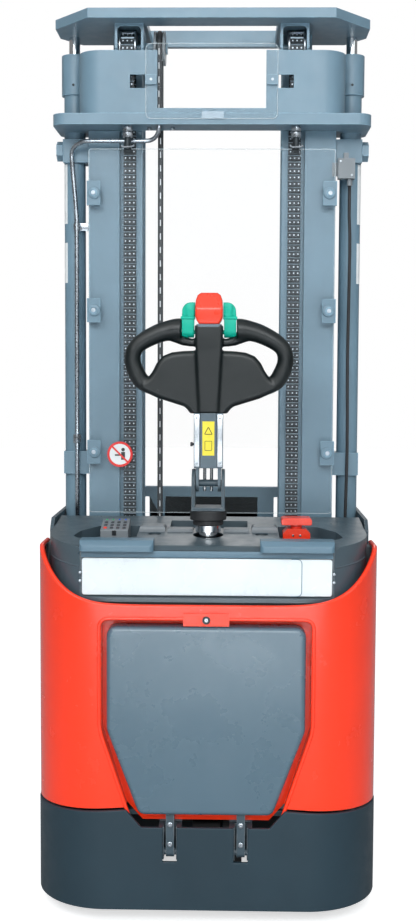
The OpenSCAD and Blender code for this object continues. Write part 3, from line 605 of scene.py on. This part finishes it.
class STACKER_OT_stage(bpy.types.Operator):
    """Floor, soft light and camera"""
    bl_idname = "stacker.stage"
    bl_label = "Stage"

    def execute(self, context):
        scene = context.scene
        scene.view_settings.view_transform = "Standard"
        view = bpy.data.cameras.new("Camera")
        eye = bpy.data.objects.new("Camera", view)
        scene.collection.objects.link(eye)
        eye.location = at(61.3, -2815.1, 1280.3)
        turn = Euler((radians(90 - 4.283), 0, radians(1.198))).to_matrix() @ Matrix.Rotation(radians(0.274), 3, "Z")
        eye.rotation_euler = turn.to_euler()
        view.lens = 49.61
        view.sensor_width = 36
        view.clip_end = 60
        scene.camera = eye
        free()
        bpy.ops.mesh.primitive_circle_add(vertices=96, radius=16, fill_type="NGON", location=(0, 0, 0))
        floor = settle(bpy.context.object, "floor")
        floor_finish = surface("floor_pale", (0.80, 0.805, 0.81), 0.8, mottle=0.015, cloud=1.5, grain=0.05,
                               grain_size=200, glow=0.6, shine=0.2)
        tree = floor_finish.node_tree
        shader = tree.nodes["Principled BSDF"]
        seen = node(tree, "LightPath", {}).outputs["Is Camera Ray"]
        tone = blended(tree, seen, (0.42, 0.43, 0.44), shader.inputs["Base Color"].links[0].from_socket)
        lit = node(tree, "Math", {0: seen, 1: 0.6}, operation="MULTIPLY").outputs["Value"]
        feed(tree, shader, {"Base Color": tone, "Emission Strength": lit})
        floor.data.materials.append(floor_finish)
        world = bpy.data.worlds.new("Studio")
        scene.world = world
        world.use_nodes = True
        tree = world.node_tree
        seen = node(tree, "LightPath", {}).outputs["Is Camera Ray"]
        source = node(tree, "TexCoord", {}).outputs["Generated"]
        height = node(tree, "SeparateXYZ", {"Vector": source}).outputs["Z"]
        around = remap(tree, height, -0.2, 0.9, 0.10, 0.50)
        strength = node(tree, "Mix", {"Factor": seen, "A": around, "B": 1.0}).outputs["Result"]
        feed(tree, tree.nodes["Background"], {"Color": (1, 1, 1, 1), "Strength": strength})
        for name, spot, goal, size, power, colour in (
            ("Softbox", (0, -6.0, 3.7), (0, -0.6, 1.6), (5.0, 2.0), 215, (0.94, 0.98, 1.0)),
            ("Key", (-2.4, -3.4, 4.0), (0, -0.6, 1.2), (1.6, 1.6), 24, (1.0, 0.99, 0.97)),
            ("Fill", (2.9, -3.0, 2.8), (0, -0.6, 1.0), (1.4, 2.2), 14, (0.94, 0.98, 1.0)),
            ("Rear", (0.5, 4.6, 3.8), (0, 0, 1.0), (2.6, 2.6), 30, (1.0, 1.0, 1.0)),
            ("Floor wash", (0, -6.4, 1.0), (0, -6.4, 0), (5.0, 2.6), 800, (0.94, 0.98, 1.0)),
        ):
            lamp = bpy.data.lights.new(name, "AREA")
            lamp.shape = "RECTANGLE"
            lamp.size, lamp.size_y = size
            lamp.energy = power
            lamp.color = colour
            holder = bpy.data.objects.new(name, lamp)
            scene.collection.objects.link(holder)
            holder.location = spot
            holder.rotation_euler = (Vector(goal) - holder.location).to_track_quat("-Z", "Y").to_euler()
        sun = bpy.data.lights.new("Sky light", "SUN")
        sun.energy = 0.45
        sun.angle = radians(60)
        holder = bpy.data.objects.new("Sky light", sun)
        scene.collection.objects.link(holder)
        holder.rotation_euler = (radians(28), radians(-10), 0)
        return {"FINISHED"}


class STACKER_OT_covers(bpy.types.Operator):
    """Skirt and painted rear cover with its rolled lip and recess rim"""
    bl_idname = "stacker.covers"
    bl_label = "Covers"

    def execute(self, context):
        dress("skirt", "charcoal_plastic", 2.0, 3)
        dress("rear_cover", "red_paint", 1.2, 2)
        lip = tube("cover_lip", cover_lip_route(6), sizes().lip, 20)
        finish_piece(lip, "red_paint", "truck")
        low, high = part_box("platform_panel")
        half, top, bottom = high.x / MM, high.z / MM, low.z / MM
        outer = [(-(half - 73 + 20), bottom - 16), (-(half + 18), bottom + 195), (-(half + 18), top + 17),
                 (half + 18, top + 17), (half + 18, bottom + 195), (half - 73 + 20, bottom - 16)]
        route = rounded_line([at(x, COVER_Y + 1.5, z) for x, z in outer], 0.024, 8, closed=False)
        rim = tube("recess_rim", route, 4.5 * MM, 16)
        finish_piece(rim, "red_paint", "truck")
        dress("cover_fasteners", "zinc", 0.6, 2)
        ring = rod("latch_ring", at(0, 6.9, 708), at(0, 3.6, 708), 9 * MM, 40)
        pick(ring, "FACE", lambda face: face.normal.y < -0.9)
        bpy.ops.mesh.inset(thickness=3.4 * MM)
        bpy.ops.mesh.extrude_region_move(TRANSFORM_OT_translate={"value": (0, 2.2 * MM, 0)})
        free()
        round_edges(ring, 0.5 * MM, 2)
        finish_piece(smooth(ring), "black_plastic", "truck")
        return {"FINISHED"}


class STACKER_OT_platform(bpy.types.Operator):
    """Folding platform panel and its arms"""
    bl_idname = "stacker.platform"
    bl_label = "Platform"

    def execute(self, context):
        panel = merged_copy("platform_panel", "platform_pad")
        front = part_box("platform_panel")[0].y
        round_edges(panel, sizes().panel_edge, 6, lambda edge: abs(edge_middle(edge).y - front) < 0.0005)
        smooth(panel, 40)
        finish_piece(panel, "panel_plastic", "platform", ["platform_panel"])
        dress("platform_arms", "steel_paint", 1.5, 2)
        for side in BOTH:
            for z in (186, 232):
                bolt = screw_head(f"arm_bolt_{'left' if side < 0 else 'right'}_{z}", at(side * 81, 18, z),
                                  REARWARD, 6.2, 4)
                finish_piece(bolt, "zinc", "platform")
        return {"FINISHED"}


class STACKER_OT_dashboard(bpy.types.Operator):
    """Dashboard lid, pads, service panel, keypad and stop knob"""
    bl_idname = "stacker.dashboard"
    bl_label = "Dashboard"

    def execute(self, context):
        dress("dashboard", "lid_plastic", 3.0, 3)
        pads = merged_copy("dashboard_pads", "elbow_pads")
        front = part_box("dashboard_pads")[0].y
        for reach, width in ((121, 15), (289, 9)):
            round_edges(pads, width * MM, 5, lambda edge: abs(abs(edge_middle(edge).x) - reach * MM) < 0.0006
                        and edge_middle(edge).y < front + 0.004
                        and abs(edge.verts[0].co.z - edge.verts[1].co.z) > 0.008)
        round_edges(pads, 2.5 * MM, 3, lambda edge: edge_middle(edge).z > at(0, 0, 861).z, 24)
        smooth(pads, 40)
        finish_piece(pads, "pad_plastic", "truck", ["dashboard_pads"])
        brow = plate("panel_brow", [at(-287, 45.5, 843.5), *rounded_line(
            [at(-287, 45.5, 843.5), at(-287, 45.5, 859), at(287, 45.5, 859), at(287, 45.5, 843.5)], 0.013, 6,
            closed=False)[1:]], (0, 5 * MM, 0))
        finish_piece(smooth(round_edges(brow, 1 * MM, 2)), "pad_plastic", "truck")
        seam = tube("panel_seam", rounded_line([at(192, 43.7, 842), at(216, 43.7, 842), at(216, 43.7, 757),
                                                at(192, 43.7, 757)], 0.02, 6, closed=False), 0.9 * MM, 8)
        finish_piece(seam, "pad_plastic", "truck")
        caps = []
        for side in BOTH:
            cap = block("cap", at(side * 134 - 31, 198, 872), at(side * 134 + 31, 258, 897))
            caps.append(round_edges(cap, 9 * MM, 5, lambda edge: edge_middle(edge).z > at(0, 0, 895).z))
            cap = block("cap", at(side * 67 - 31, 198, 872), at(side * 67 + 31, 242, 890))
            caps.append(round_edges(cap, 3 * MM, 3, lambda edge: edge_middle(edge).z > at(0, 0, 888).z))
        finish_piece(smooth(joined("lid_caps", caps)), "grey_plastic", "truck")
        creases = []
        for side in BOTH:
            route = []
            for i in range(17):
                turn = radians(32 + 43 * i / 16)
                route.append(at(side * (201 + 175 * sin(turn)), 200 - 175 * cos(turn), 822 + 12 * i / 16))
            creases.append(tube("crease", route, 2.4 * MM, 10))
        finish_piece(joined("lid_creases", creases), "lid_plastic", "truck")
        posts = [round_edges(block("post", at(side * 386.5 - 8, 236, 742), at(side * 386.5 + 8, 258, 850)), 3 * MM, 3)
                 for side in BOTH]
        finish_piece(smooth(joined("lid_posts", posts)), "lid_plastic", "truck")
        # Black strip in the gap under the lid: its black is a painted shadow of that gap.
        seal = block("lid_gap_shade_strip", at(-290, 30, 732), at(290, 36, 744.4))
        finish_piece(round_edges(seal, 1.5 * MM, 2), "black_rubber", "truck")
        dress("service_panel", "light_panel", 1.5, 2)
        dress("keypad", "grey_plastic", 1.5, 2)
        dress("stop_base", "red_plastic", 2.0, 2)
        dress("stop_knob", "red_plastic", 5.0, 3)
        rise = atan2(19, 70)
        along = Vector((0, cos(rise), sin(rise)))
        up = Vector((0, -sin(rise), cos(rise)))
        start = at(-223, 168, 890)
        keys = []
        for row in range(3):
            for column in range(4):
                spot = start + Vector(((column - 1.5) * 15 * MM, 0, 0)) + along * ((14 + row * 17) * MM)
                key = block(f"key_{row}_{column}", Vector((-4, -4.6, -1)) * MM, Vector((4, 4.6, 1.6)) * MM)
                round_edges(key, 1.0 * MM, 2)
                key.data.transform(Matrix.Translation(spot) @ Matrix.Rotation(rise, 4, "X"))
                coat_with(key, "red_plastic" if (row, column) == (0, 0) else "key_dark")
                keys.append(key)
        for column, tint in ((0, "led_green"), (1, "led_green"), (2, "led_blue"), (3, "led_blue")):
            spot = start + Vector(((column - 1.5) * 15 * MM, 0, 0)) + along * (66 * MM)
            lamp = rod(f"led_{column}", spot - up * MM, spot + up * 1.4 * MM, 2.2 * MM, 16)
            round_edges(lamp, 0.6 * MM, 2)
            coat_with(lamp, tint)
            keys.append(lamp)
        finish_piece(smooth(joined("keypad_keys", keys)), None, "truck")
        clip = block("keypad_clip", at(-228, 166.4, 877), at(-218, 169, 889))
        finish_piece(round_edges(clip, 0.6 * MM, 2), "black_plastic", "truck")
        heads = []
        for side in BOTH:
            heads += screws([(side * 289, 45, z) for z in (790, 809)], 3.4, 6)
            heads += screws([(209 + side * 8.5, 160, 881)], 2.8, 1.4)
        finish_piece(joined("dash_screws", heads), "zinc", "truck")
        return {"FINISHED"}


def moulded_head():
    """Tiller head: looped grips, domed shield and tapered column, melted into one moulding."""
    spine = [(65, 172, 1364, 27), (78, 172, 1364, 26), (96, 172, 1361, 24), (120, 171, 1354, 22.5),
             (152, 169, 1338, 20.5), (171, 168, 1322, 19), (178.5, 167.5, 1304, 19), (178, 168, 1284, 19.5),
             (170, 169, 1262, 20.5), (158, 170, 1243, 20), (138, 171, 1230, 18), (118, 172, 1222, 14)]
    bend = ((20, 1333), (44, 1334), (58, 1337), (76, 1348), (92, 1356))
    neck = tube("neck", [at(x, 172, z) for x, z in bend], 16 * MM, 20, swell=(0.62, 0.62, 0.72, 1.0, 1.2))
    line = [Vector(point[:3]) for point in spine]
    route, swell = [], []
    for i in range(len(line) - 1):
        before, first, last, after = (line[max(i - 1, 0)], line[i], line[i + 1], line[min(i + 2, len(line) - 1)])
        for k in range(5):
            t = k / 5
            here = ((2 * first) + (last - before) * t + (2 * before - 5 * first + 4 * last - after) * t * t
                    + (3 * first - before - 3 * last + after) * t ** 3) / 2
            route.append(at(*here))
            swell.append((spine[i][3] * (1 - t) + spine[i + 1][3] * t) / 20)
    grip = tube("grip", route, 20 * MM, 24, swell=swell)
    shape = [(0, 1168), (44, 1168), (50, 1177), (58, 1184), (119, 1203), (160, 1222), (166, 1236), (150, 1246),
             (141, 1253), (131, 1268), (122, 1286), (108, 1302), (86, 1311), (60, 1314), (0, 1316)]
    half = plate("half", [at(x, 149, z) for x, z in shape], (0, 47 * MM, 0))

    def rim(edge):
        return edge_middle(edge).x > 3 * MM and edge_middle(edge).z > at(0, 0, 1172).z

    round_edges(half, 15 * MM, 6, lambda edge: rim(edge) and edge_middle(edge).y < at(0, 150, 0).y)
    round_edges(half, 10 * MM, 4, lambda edge: rim(edge) and edge_middle(edge).y > at(0, 190, 0).y)
    sides = [grip, neck, half]
    sides += [mirrored_copy(part, "left") for part in sides]
    column = block("column", at(-33.5, 140, 1169), at(33.5, 206, 1374))
    pick(column, "VERT", lambda corner: corner.co.z < at(0, 0, 1200).z)
    bpy.ops.transform.resize(value=(0.7, 0.92, 1), center_override=at(0, 176, 1169))
    free()
    round_edges(column, 6 * MM, 4, lambda edge: abs(edge.verts[0].co.z - edge.verts[1].co.z) > 0.1)
    made = joined("moulded_head", sides + [column])
    modify(made, "REMESH", mode="VOXEL", voxel_size=sizes().head_voxel, adaptivity=0)
    modify(made, "SMOOTH", factor=0.5, iterations=10)
    modify(made, "DECIMATE", decimate_type="COLLAPSE", ratio=0.4)
    hold(made)
    bpy.ops.object.shade_smooth()
    return made


def safety_button():
    """Reversing button: sloped top facet and chamfered flanks."""
    face = [(-19, 1450), (19, 1450), (27, 1444), (31, 1432), (32, 1414), (32, 1394), (29, 1385), (23, 1376),
            (-23, 1376), (-29, 1385), (-32, 1394), (-32, 1414), (-31, 1432), (-27, 1444)]
    made = plate("safety_button", [at(x, 140, z) for x, z in face], (0, 64 * MM, 0))
    hold(made)
    bpy.ops.object.mode_set(mode="EDIT")
    bpy.ops.mesh.select_all(action="SELECT")
    bpy.ops.mesh.bisect(plane_co=at(0, 140, 1414), plane_no=(0, -0.81, 0.59), clear_outer=True, use_fill=True)
    free()
    round_edges(made, 5 * MM, 4, lambda edge: edge_middle(edge).y < at(0, 170, 0).y, 25)
    return smooth(made, 40)


def thumb_wings():
    """Speed wings on both sides of the button: round lobe, ridge and lower block."""
    arc = [at(42 + 21 * sin(radians(a)), 158, 1406 + 21 * cos(radians(a))) for a in range(0, 91, 10)]
    lobe = plate("lobe", [at(33, 158, 1388), at(33, 158, 1427)] + arc + [at(63, 158, 1388)], (0, 28 * MM, 0))
    round_edges(lobe, 2.5 * MM, 3, lambda edge: edge_middle(edge).x > 34 * MM, 40)
    pad = plate("pad", rounded_line([at(34, 154, 1392), at(52, 154, 1392), at(56, 154, 1424), at(34, 154, 1426)],
                                    0.009, 5), (0, 8 * MM, 0))
    round_edges(pad, 1.5 * MM, 2)
    ridge = rod("ridge", at(33.5, 157, 1390.5), at(66, 157, 1390.5), 4 * MM, 20)
    round_edges(ridge, 1.5 * MM, 3)
    saddle = rod("saddle", at(35, 172, 1362), at(63.5, 172, 1362), 17 * MM, 40)
    pick(saddle, "VERT", lambda corner: corner.co.z > at(0, 0, 1362).z)
    bpy.ops.transform.translate(value=(0, 0, 0.024))
    free()
    round_edges(saddle, 1.5 * MM, 3)
    hub = rod("hub", at(9, 172, 1358), at(36, 172, 1358), 5 * MM, 16)
    right = joined("right", [lobe, pad, ridge, saddle, hub])
    left = mirrored_copy(right, "left")
    return smooth(joined("thumb_wings", [right, left]), 35)


class STACKER_OT_tiller(bpy.types.Operator):
    """Tiller column, bracket, arm and moulded head with its controls"""
    bl_idname = "stacker.tiller"
    bl_label = "Tiller"

    def execute(self, context):
        dress("steering_column", "chrome_rod", 1.5)
        dress("tiller_boot", "black_rubber", 2.0, 3)
        dress("tiller_bracket", "steel_paint", 1.5)
        dress("tiller_arm", "arm_paint", 1.5)
        dress("gas_springs", "chrome_rod", 0.4, 1)
        dress("creep_button", "black_plastic", 1.0)
        finish_piece(moulded_head(), "head_plastic", "tiller", ["tiller_head"])
        heads = screws([(-119, 150, 1220), (119, 150, 1220), (0, 144.5, 1181)], 3.6, 1.6)
        finish_piece(joined("head_screws", heads), "black_rubber", "tiller")
        finish_piece(safety_button(), "red_plastic", "belly_button", ["belly_button"])
        line = [at(x, 139.4, z) for x, z in ((-30, 1376), (-23, 1369.4), (23, 1369.4), (30, 1376))]
        trim = plate("button_trim", rounded_line(line, 4 * MM, 3, closed=False), (0, 40 * MM, 0))
        finish_piece(smooth(round_edges(trim, 0.8 * MM, 2)), "arm_paint", "tiller")
        finish_piece(thumb_wings(), "green_plastic", "speed_wings", ["speed_wings"])
        dress("lift_rocker", "grey_plastic", 1.5, 2)
        dress("horn_button", "grey_plastic", 1.0, 2)
        rails = [round_edges(block("rail", at(side * 27 - 6, 143.6, 1044), at(side * 27 + 6, 145.2, 1166)),
                             0.6 * MM, 2) for side in BOTH]
        finish_piece(smooth(joined("arm_rails", rails)), "aluminium", "tiller")
        heads = screws([(x, 144, z) for x in (-27, 27) for z in (1052, 1158)], 3.0, 1.6)
        finish_piece(joined("arm_screws", heads), "zinc", "tiller")
        label = block("arm_label", at(-14, 144.3, 1070), at(14, 145.1, 1150))
        finish_piece(round_edges(label, 0.3 * MM, 1), "label_yellow", "tiller")
        signs = (([(-9, 1120), (9, 1120), (0, 1137)], 0.9), ([(-8, 1082), (8, 1082), (8, 1104), (-8, 1104)], 0.6))
        marks = [tube("mark", rounded_line([at(x, 144.1, z) for x, z in corners], 2 * MM, 3), thick * MM, 8,
                      closed=True) for corners, thick in signs]
        finish_piece(joined("arm_label_marks", marks), "label_black", "tiller")
        return {"FINISHED"}


class STACKER_OT_mast(bpy.types.Operator):
    """Fixed and moving mast with its cylinders"""
    bl_idname = "stacker.mast"
    bl_label = "Mast"

    def execute(self, context):
        for part, edge in (("outer_channels", 1.6), ("outer_crosshead", 1.6), ("inner_channels", 1.6),
                           ("inner_crosshead", 1.6), ("pulley_brackets", 1.6), ("mast_shroud", 0.8),
                           ("cylinder_barrels", 1.5), ("cylinder_clamps", 1.5)):
            dress(part, "mast_paint", edge)
        dress("piston_rods", "chrome_rod", 1.0)
        dress("chain_pulleys", "roller_steel", 0.8)
        dress("hose_pulley", "grey_plastic", 0.8)
        dress("inner_rollers", "roller_steel", 1.0)
        nuts, bars, pins = [], [], []
        for side in BOTH:
            x, y = side * ANCHOR_X, ANCHOR_Y
            nuts += [hex_nut((x, y, z), 23.5, 13) for z in (1840.5, 1855.5)]
            bars.append(rod("bar", at(x, y, 1812), at(x, y, 1898), 7.6 * MM, 24))
            bars.append(round_edges(block("eye", at(x - 13.5, y - 5.5, 1897), at(x + 13.5, y + 5.5, 1923)), 2 * MM))
            bars.append(round_edges(block("lug", at(x - 9, y + 2, 1806), at(x + 9, y + 12, 1822)), 2 * MM))
            pins.append(tube("pin", [at(x - 15, 357, 1819), at(x - 9, 357, 1816.5), at(x + 9, 357, 1817),
                                     at(x + 17, 357, 1819.5)], 1.9 * MM, 10))
        finish_piece(joined("anchor_nuts", nuts), "zinc", "truck", ["chain_anchors"])
        finish_piece(smooth(joined("anchor_bars", bars)), "chain_steel", "truck", ["chain_anchors"])
        finish_piece(joined("cotter_pins", pins), "zinc", "truck", ["chain_anchors"])
        labels = []
        for side in BOTH:
            for low, high in ((1640, 1790), (1490, 1592)):
                x = side * CYLINDER_X
                label = rod("label", at(x, 480, low), at(x, 480, high), 27.35 * MM, 64)
                pick(label, "FACE", lambda face: abs(face.normal.z) > 0.5
                     or face.calc_center_median().y > at(0, 486, 0).y
                     or side * face.calc_center_median().x < (CYLINDER_X + 17) * MM)
                bpy.ops.mesh.delete(type="FACE")
                free()
                modify(label, "SOLIDIFY", thickness=0.25 * MM, offset=-1)
                labels.append(smooth(label))
        finish_piece(joined("cylinder_labels", labels), "label_white", "truck")
        heads = screws([(side * CYLINDER_X, 447.2, 1986) for side in BOTH], 3.2, 2)
        finish_piece(joined("gland_screws", heads), "chain_steel", "truck")
        heads = screws([(-155, 384, 1869), (-97, 384, 1869)], 5, 7, -UPWARD)
        finish_piece(joined("plate_screws", heads), "zinc", "truck")
        hold_down = [round_edges(block("clamp", at(-338, 440, 1620), at(-312, 446, 1640)), 1.5 * MM, 2),
                     rod("clamp", at(PIPE_X, 436, 1622), at(PIPE_X, 436, 1638), 8 * MM, 24)]
        finish_piece(smooth(joined("pipe_clamp", hold_down)), "zinc", "truck")
        return {"FINISHED"}


def chain_row(name, pitch):
    """One row of a leaf chain, the same on both faces: dark links whose pin ends carry painted highlight dots, a pale
    seam below.
    """
    parts = []

    def part(low, high, finish):
        made = block("part", Vector(low) * MM, Vector(high) * MM)
        coat_with(made, finish)
        parts.append(made)

    tall = pitch / MM
    part((-15.6, -2.6, 1.2), (15.6, 2.6, tall - 0.4), "chain_steel")
    for x in (-10.6, 0, 10.6):
        part((x - 4.3, -5.6, 0.24 * tall), (x + 4.3, 5.6, 0.86 * tall), "chain_steel")
        # Pale square on each link: a painted highlight on the plate ends.
        part((x - 1.7, -5.9, 0.46 * tall), (x + 1.7, 5.9, 0.46 * tall + 3.4), "pale_steel_and_highlight")
    seam = rod("seam", Vector((-15.9, 0, 0)) * MM, Vector((15.9, 0, 0)) * MM, 1.8 * MM, 8)
    seam.data.transform(Matrix.Diagonal((1, 3.2, 1, 1)))
    coat_with(seam, "chain_seam")
    return joined(name, parts + [seam])


class STACKER_OT_chains(bpy.types.Operator):
    """Leaf chains: the loaded runs, the turns over the pulleys and the anchored runs"""
    bl_idname = "stacker.chains"
    bl_label = "Chains"

    def execute(self, context):
        axle_y = middle("chain_pulleys").y
        axle_z = middle("chain_pulleys").z
        chain_low, chain_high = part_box("lift_chains")
        x_mid = chain_high.x - 16 * MM
        rows = sizes().chain_rows
        pitch = (axle_z - chain_low.z) / rows
        row = chain_row("row", pitch)

        def straight(name, y, low, count):
            """Rows stacked from a height up to the pulley's axle."""
            rise = (axle_z - low) / count
            made = copy_of(row, name, (x_mid, y, low), Matrix.Diagonal((1, 1, rise / pitch, 1)))
            return modify(made, "ARRAY", use_relative_offset=False, use_constant_offset=True,
                          constant_offset_displace=(0, 0, rise), count=count)

        anchor_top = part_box("chain_anchors")[1].z
        run = straight("run", axle_y + PULLEY_R, chain_low.z, rows)
        short = straight("short", axle_y - PULLEY_R, anchor_top, 8)
        turns = []
        arc_steps = 7
        arc_pitch = pi * PULLEY_R / arc_steps
        for i in range(arc_steps):
            spin = (Matrix.Translation((x_mid, axle_y, axle_z)) @ Matrix.Rotation(-pi * i / arc_steps, 4, "X")
                    @ Matrix.Translation((0, -PULLEY_R, 0)) @ Matrix.Rotation(-pi / arc_steps / 2, 4, "X")
                    @ Matrix.Diagonal((1, 1, arc_pitch / pitch, 1)))
            turns.append(copy_of(row, f"turn_{i}", turn=spin))
        bend = joined("bend", turns)
        for side, word in ((1, "right"), (-1, "left")):
            for source, part in ((run, "run"), (bend, "turn"), (short, "anchor_run")):
                name = f"chain_{part}_{word}"
                piece = copy_of(source, name) if side > 0 else mirrored_copy(source, name)
                smooth(piece, 40)
                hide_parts("lift_chains")
                if part == "anchor_run":
                    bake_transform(piece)
                else:
                    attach(piece, "inner_mast")
                if part == "run":
                    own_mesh(piece)
        for spare in (row, run, short, bend):
            if spare.name in bpy.data.objects:
                bpy.data.objects.remove(spare)
        return {"FINISHED"}


class STACKER_OT_hoses(bpy.types.Operator):
    """Mast hose, rigid pipe, limit switch and its cable"""
    bl_idname = "stacker.hoses"
    bl_label = "Hoses"

    def execute(self, context):
        rubber = surface("hose_rubber", (0.035, 0.038, 0.042), 0.5, grain=0.3, grain_size=900, mottle=0.15)
        dashed(rubber, 0.034, 0.45, (0.75, 0.78, 0.8), -0.985)
        pulley = middle("hose_pulley")
        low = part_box("mast_hose")[0].z

        def straight(y, far, steps):
            return [Vector((pulley.x, y, pulley.z + (far - pulley.z) * i / steps)) for i in range(steps + 1)]

        runs = {
            "hose_run": straight(pulley.y + PULLEY_R, low, 40),
            "hose_turn": [pulley + Vector((0, -cos(pi * i / 24), sin(pi * i / 24))) * PULLEY_R for i in range(25)],
            "hose_anchor_run": straight(pulley.y - PULLEY_R, HOSE_ANCHOR_Z * MM, 30)[::-1],
        }
        for name, route in runs.items():
            piece = tube(name, route, 7 * MM, 20)
            piece.data.materials.clear()
            piece.data.materials.append(rubber)
            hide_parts("mast_hose")
            if name == "hose_anchor_run":
                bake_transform(piece)
            else:
                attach(piece, "inner_mast")
            if name == "hose_run":
                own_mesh(piece)
        dress("hydraulic_pipe", "zinc", 0)
        dress("limit_switch", "grey_plastic", 1.5, 2)
        dress("switch_cable", "black_rubber", 0)
        fittings = [hex_nut((-130, ANCHOR_Y, 1897), 20, 14), hex_nut((PIPE_X, 436, 420), 19, 16),
                    hex_nut((PIPE_X, 436, 1080), 19, 22)]
        finish_piece(joined("pipe_nuts", fittings), "zinc", "truck")
        heads = screws([(322, 406, 1790), (350, 406, 1756)], 3.0, 2)
        finish_piece(joined("switch_screws", heads), "zinc", "truck")
        return {"FINISHED"}


class STACKER_OT_guards(bpy.types.Operator):
    """Clear guard sheets, their clips and the warning disc"""
    bl_idname = "stacker.guards"
    bl_label = "Guards"

    def execute(self, context):
        dress("clear_guards", "clear_plastic", 0.6, 1)
        dress("guard_clips", "mast_paint", 1.0, 2)
        clip_heights = (1060, 1418, 1710)
        heads = []
        for side in BOTH:
            heads += screws([(side * 296, 391, z) for z in clip_heights], 5.4, 1.5)
            heads += screws([(side * 148, 333, 1975)], 3.4, 1.5)
        finish_piece(joined("guard_screws", heads), "pale_steel_and_highlight", "truck")
        bosses = []
        for side in BOTH:
            for z in clip_heights:
                boss = rod("boss", at(side * 294, 397, z), at(side * 294, 391.5, z), 15 * MM, 32)
                bosses.append(round_edges(boss, 2.5 * MM, 3))
                bosses.append(tube("ring", [at(side * 296 + 8 * cos(a * pi / 12), 391.2, z + 8 * sin(a * pi / 12))
                                            for a in range(24)], 1.3 * MM, 8, closed=True))
        finish_piece(smooth(joined("clip_bosses", bosses)), "mast_paint", "truck")
        rims = []
        for half, low, high, y, corner in ((308, 906, 1819, 402, 8), (161, 1882, 2062, 340, 15)):
            around = rounded_line([at(-half, y, low), at(half, y, low), at(half, y, high), at(-half, y, high)],
                                  corner * MM, 5)
            rims.append(tube("rim", around, 1.3 * MM, 8, closed=True))
        finish_piece(joined("sheet_edges", rims), "clear_edge", "truck")
        tape = block("tape", at(-24, 337.2, 1882), at(30, 337.8, 1899))
        finish_piece(tape, "tape", "truck")
        disc_y, disc_x, disc_z = 399.8, -230, 1054
        disc = rod("sticker", at(disc_x, disc_y, disc_z), at(disc_x, disc_y - 0.3, disc_z), 31 * MM, 48)
        finish_piece(round_edges(disc, 0.1 * MM, 1), "label_white", "truck")
        ink_y = disc_y - 0.4
        around = [at(disc_x + 29.5 * cos(2 * pi * i / 48), ink_y, disc_z + 29.5 * sin(2 * pi * i / 48))
                  for i in range(48)]
        cross = [at(disc_x + d, ink_y, disc_z - d) for d in (-21, 0, 21)]
        sign = joined("sticker_ring", [tube("ring", around, 3.4 * MM, 8, closed=True), tube("bar", cross, 2.6 * MM, 8)])
        ink = at(0, ink_y, 0)
        sign.data.transform(Matrix.Translation(ink) @ Matrix.Diagonal((1, 0.12, 1, 1)) @ Matrix.Translation(-ink))
        finish_piece(sign, "label_red", "truck")
        figure = [rod("part", at(-222, disc_y - 0.2, 1066), at(-222, disc_y - 0.55, 1066), 4.5 * MM, 20),
                  block("part", at(-227, disc_y - 0.55, 1040), at(-217, disc_y - 0.2, 1060)),
                  block("part", at(-243, disc_y - 0.55, 1050), at(-229, disc_y - 0.2, 1054))]
        finish_piece(joined("sticker_figure", figure), "label_black", "truck")
        return {"FINISHED"}


class STACKER_OT_carriage(bpy.types.Operator):
    """Fork carriage, forks and support legs"""
    bl_idname = "stacker.carriage"
    bl_label = "Carriage and forks"

    def execute(self, context):
        dress("carriage_frame", "mast_paint", 1.5)
        for part in ("forks", "support_legs"):
            dress(part, "steel_paint", 2.0, 3)
        for part in ("carriage_rollers_upper", "carriage_rollers_lower"):
            dress(part, "roller_steel", 1.0)
        return {"FINISHED"}


class STACKER_OT_chassis(bpy.types.Operator):
    """Chassis, drive unit, wheels and what the covers hide"""
    bl_idname = "stacker.chassis"
    bl_label = "Chassis and wheels"

    def execute(self, context):
        dress("chassis_frame", "steel_paint", 1.2)
        dress("battery", "grey_plastic", 2.0)
        dress("motor_controller", "aluminium", 1.0)
        for part in ("power_pack", "drive_gearbox", "drive_motor"):
            dress(part, "cast_grey", 2.0)
        dress("drive_wheel", "tread", 4.0, 3)
        for side in ("left", "right"):
            dress(f"caster_swivel_{side}", "zinc", 1.0, 2)
            dress(f"caster_wheel_{side}", "tread", 3.0, 3)
            dress(f"load_roller_{side}", "roller_pu", 2.0, 3)
        return {"FINISHED"}


class STACKER_PT_panel(bpy.types.Panel):
    """Stacker's colours, sizes and building steps"""
    bl_label = "Stacker"
    bl_idname = "STACKER_PT_panel"
    bl_space_type = "VIEW_3D"
    bl_region_type = "UI"
    bl_category = "Stacker"

    def draw(self, context):
        for group in (context.scene.stacker_look, context.scene.stacker_sizes):
            for name in group.__annotations__:
                self.layout.prop(group, name)
        for step in STEPS:
            self.layout.operator(step.bl_idname)


STEPS = (STACKER_OT_stage, STACKER_OT_covers, STACKER_OT_platform, STACKER_OT_dashboard, STACKER_OT_tiller,
         STACKER_OT_mast, STACKER_OT_chains, STACKER_OT_hoses, STACKER_OT_guards, STACKER_OT_carriage,
         STACKER_OT_chassis)
CLASSES = (StackerLook, StackerSizes, *STEPS, STACKER_PT_panel)


def register():
    for made in CLASSES:
        bpy.utils.register_class(made)
    bpy.types.Scene.stacker_look = PointerProperty(type=StackerLook)
    bpy.types.Scene.stacker_sizes = PointerProperty(type=StackerSizes)


def unregister():
    del bpy.types.Scene.stacker_sizes
    del bpy.types.Scene.stacker_look
    for made in reversed(CLASSES):
        bpy.utils.unregister_class(made)


def main():
    register()
    for step in STEPS:
        group, name = step.bl_idname.split(".")
        getattr(getattr(bpy.ops, group), name)()


if __name__ == "__main__":
    main()
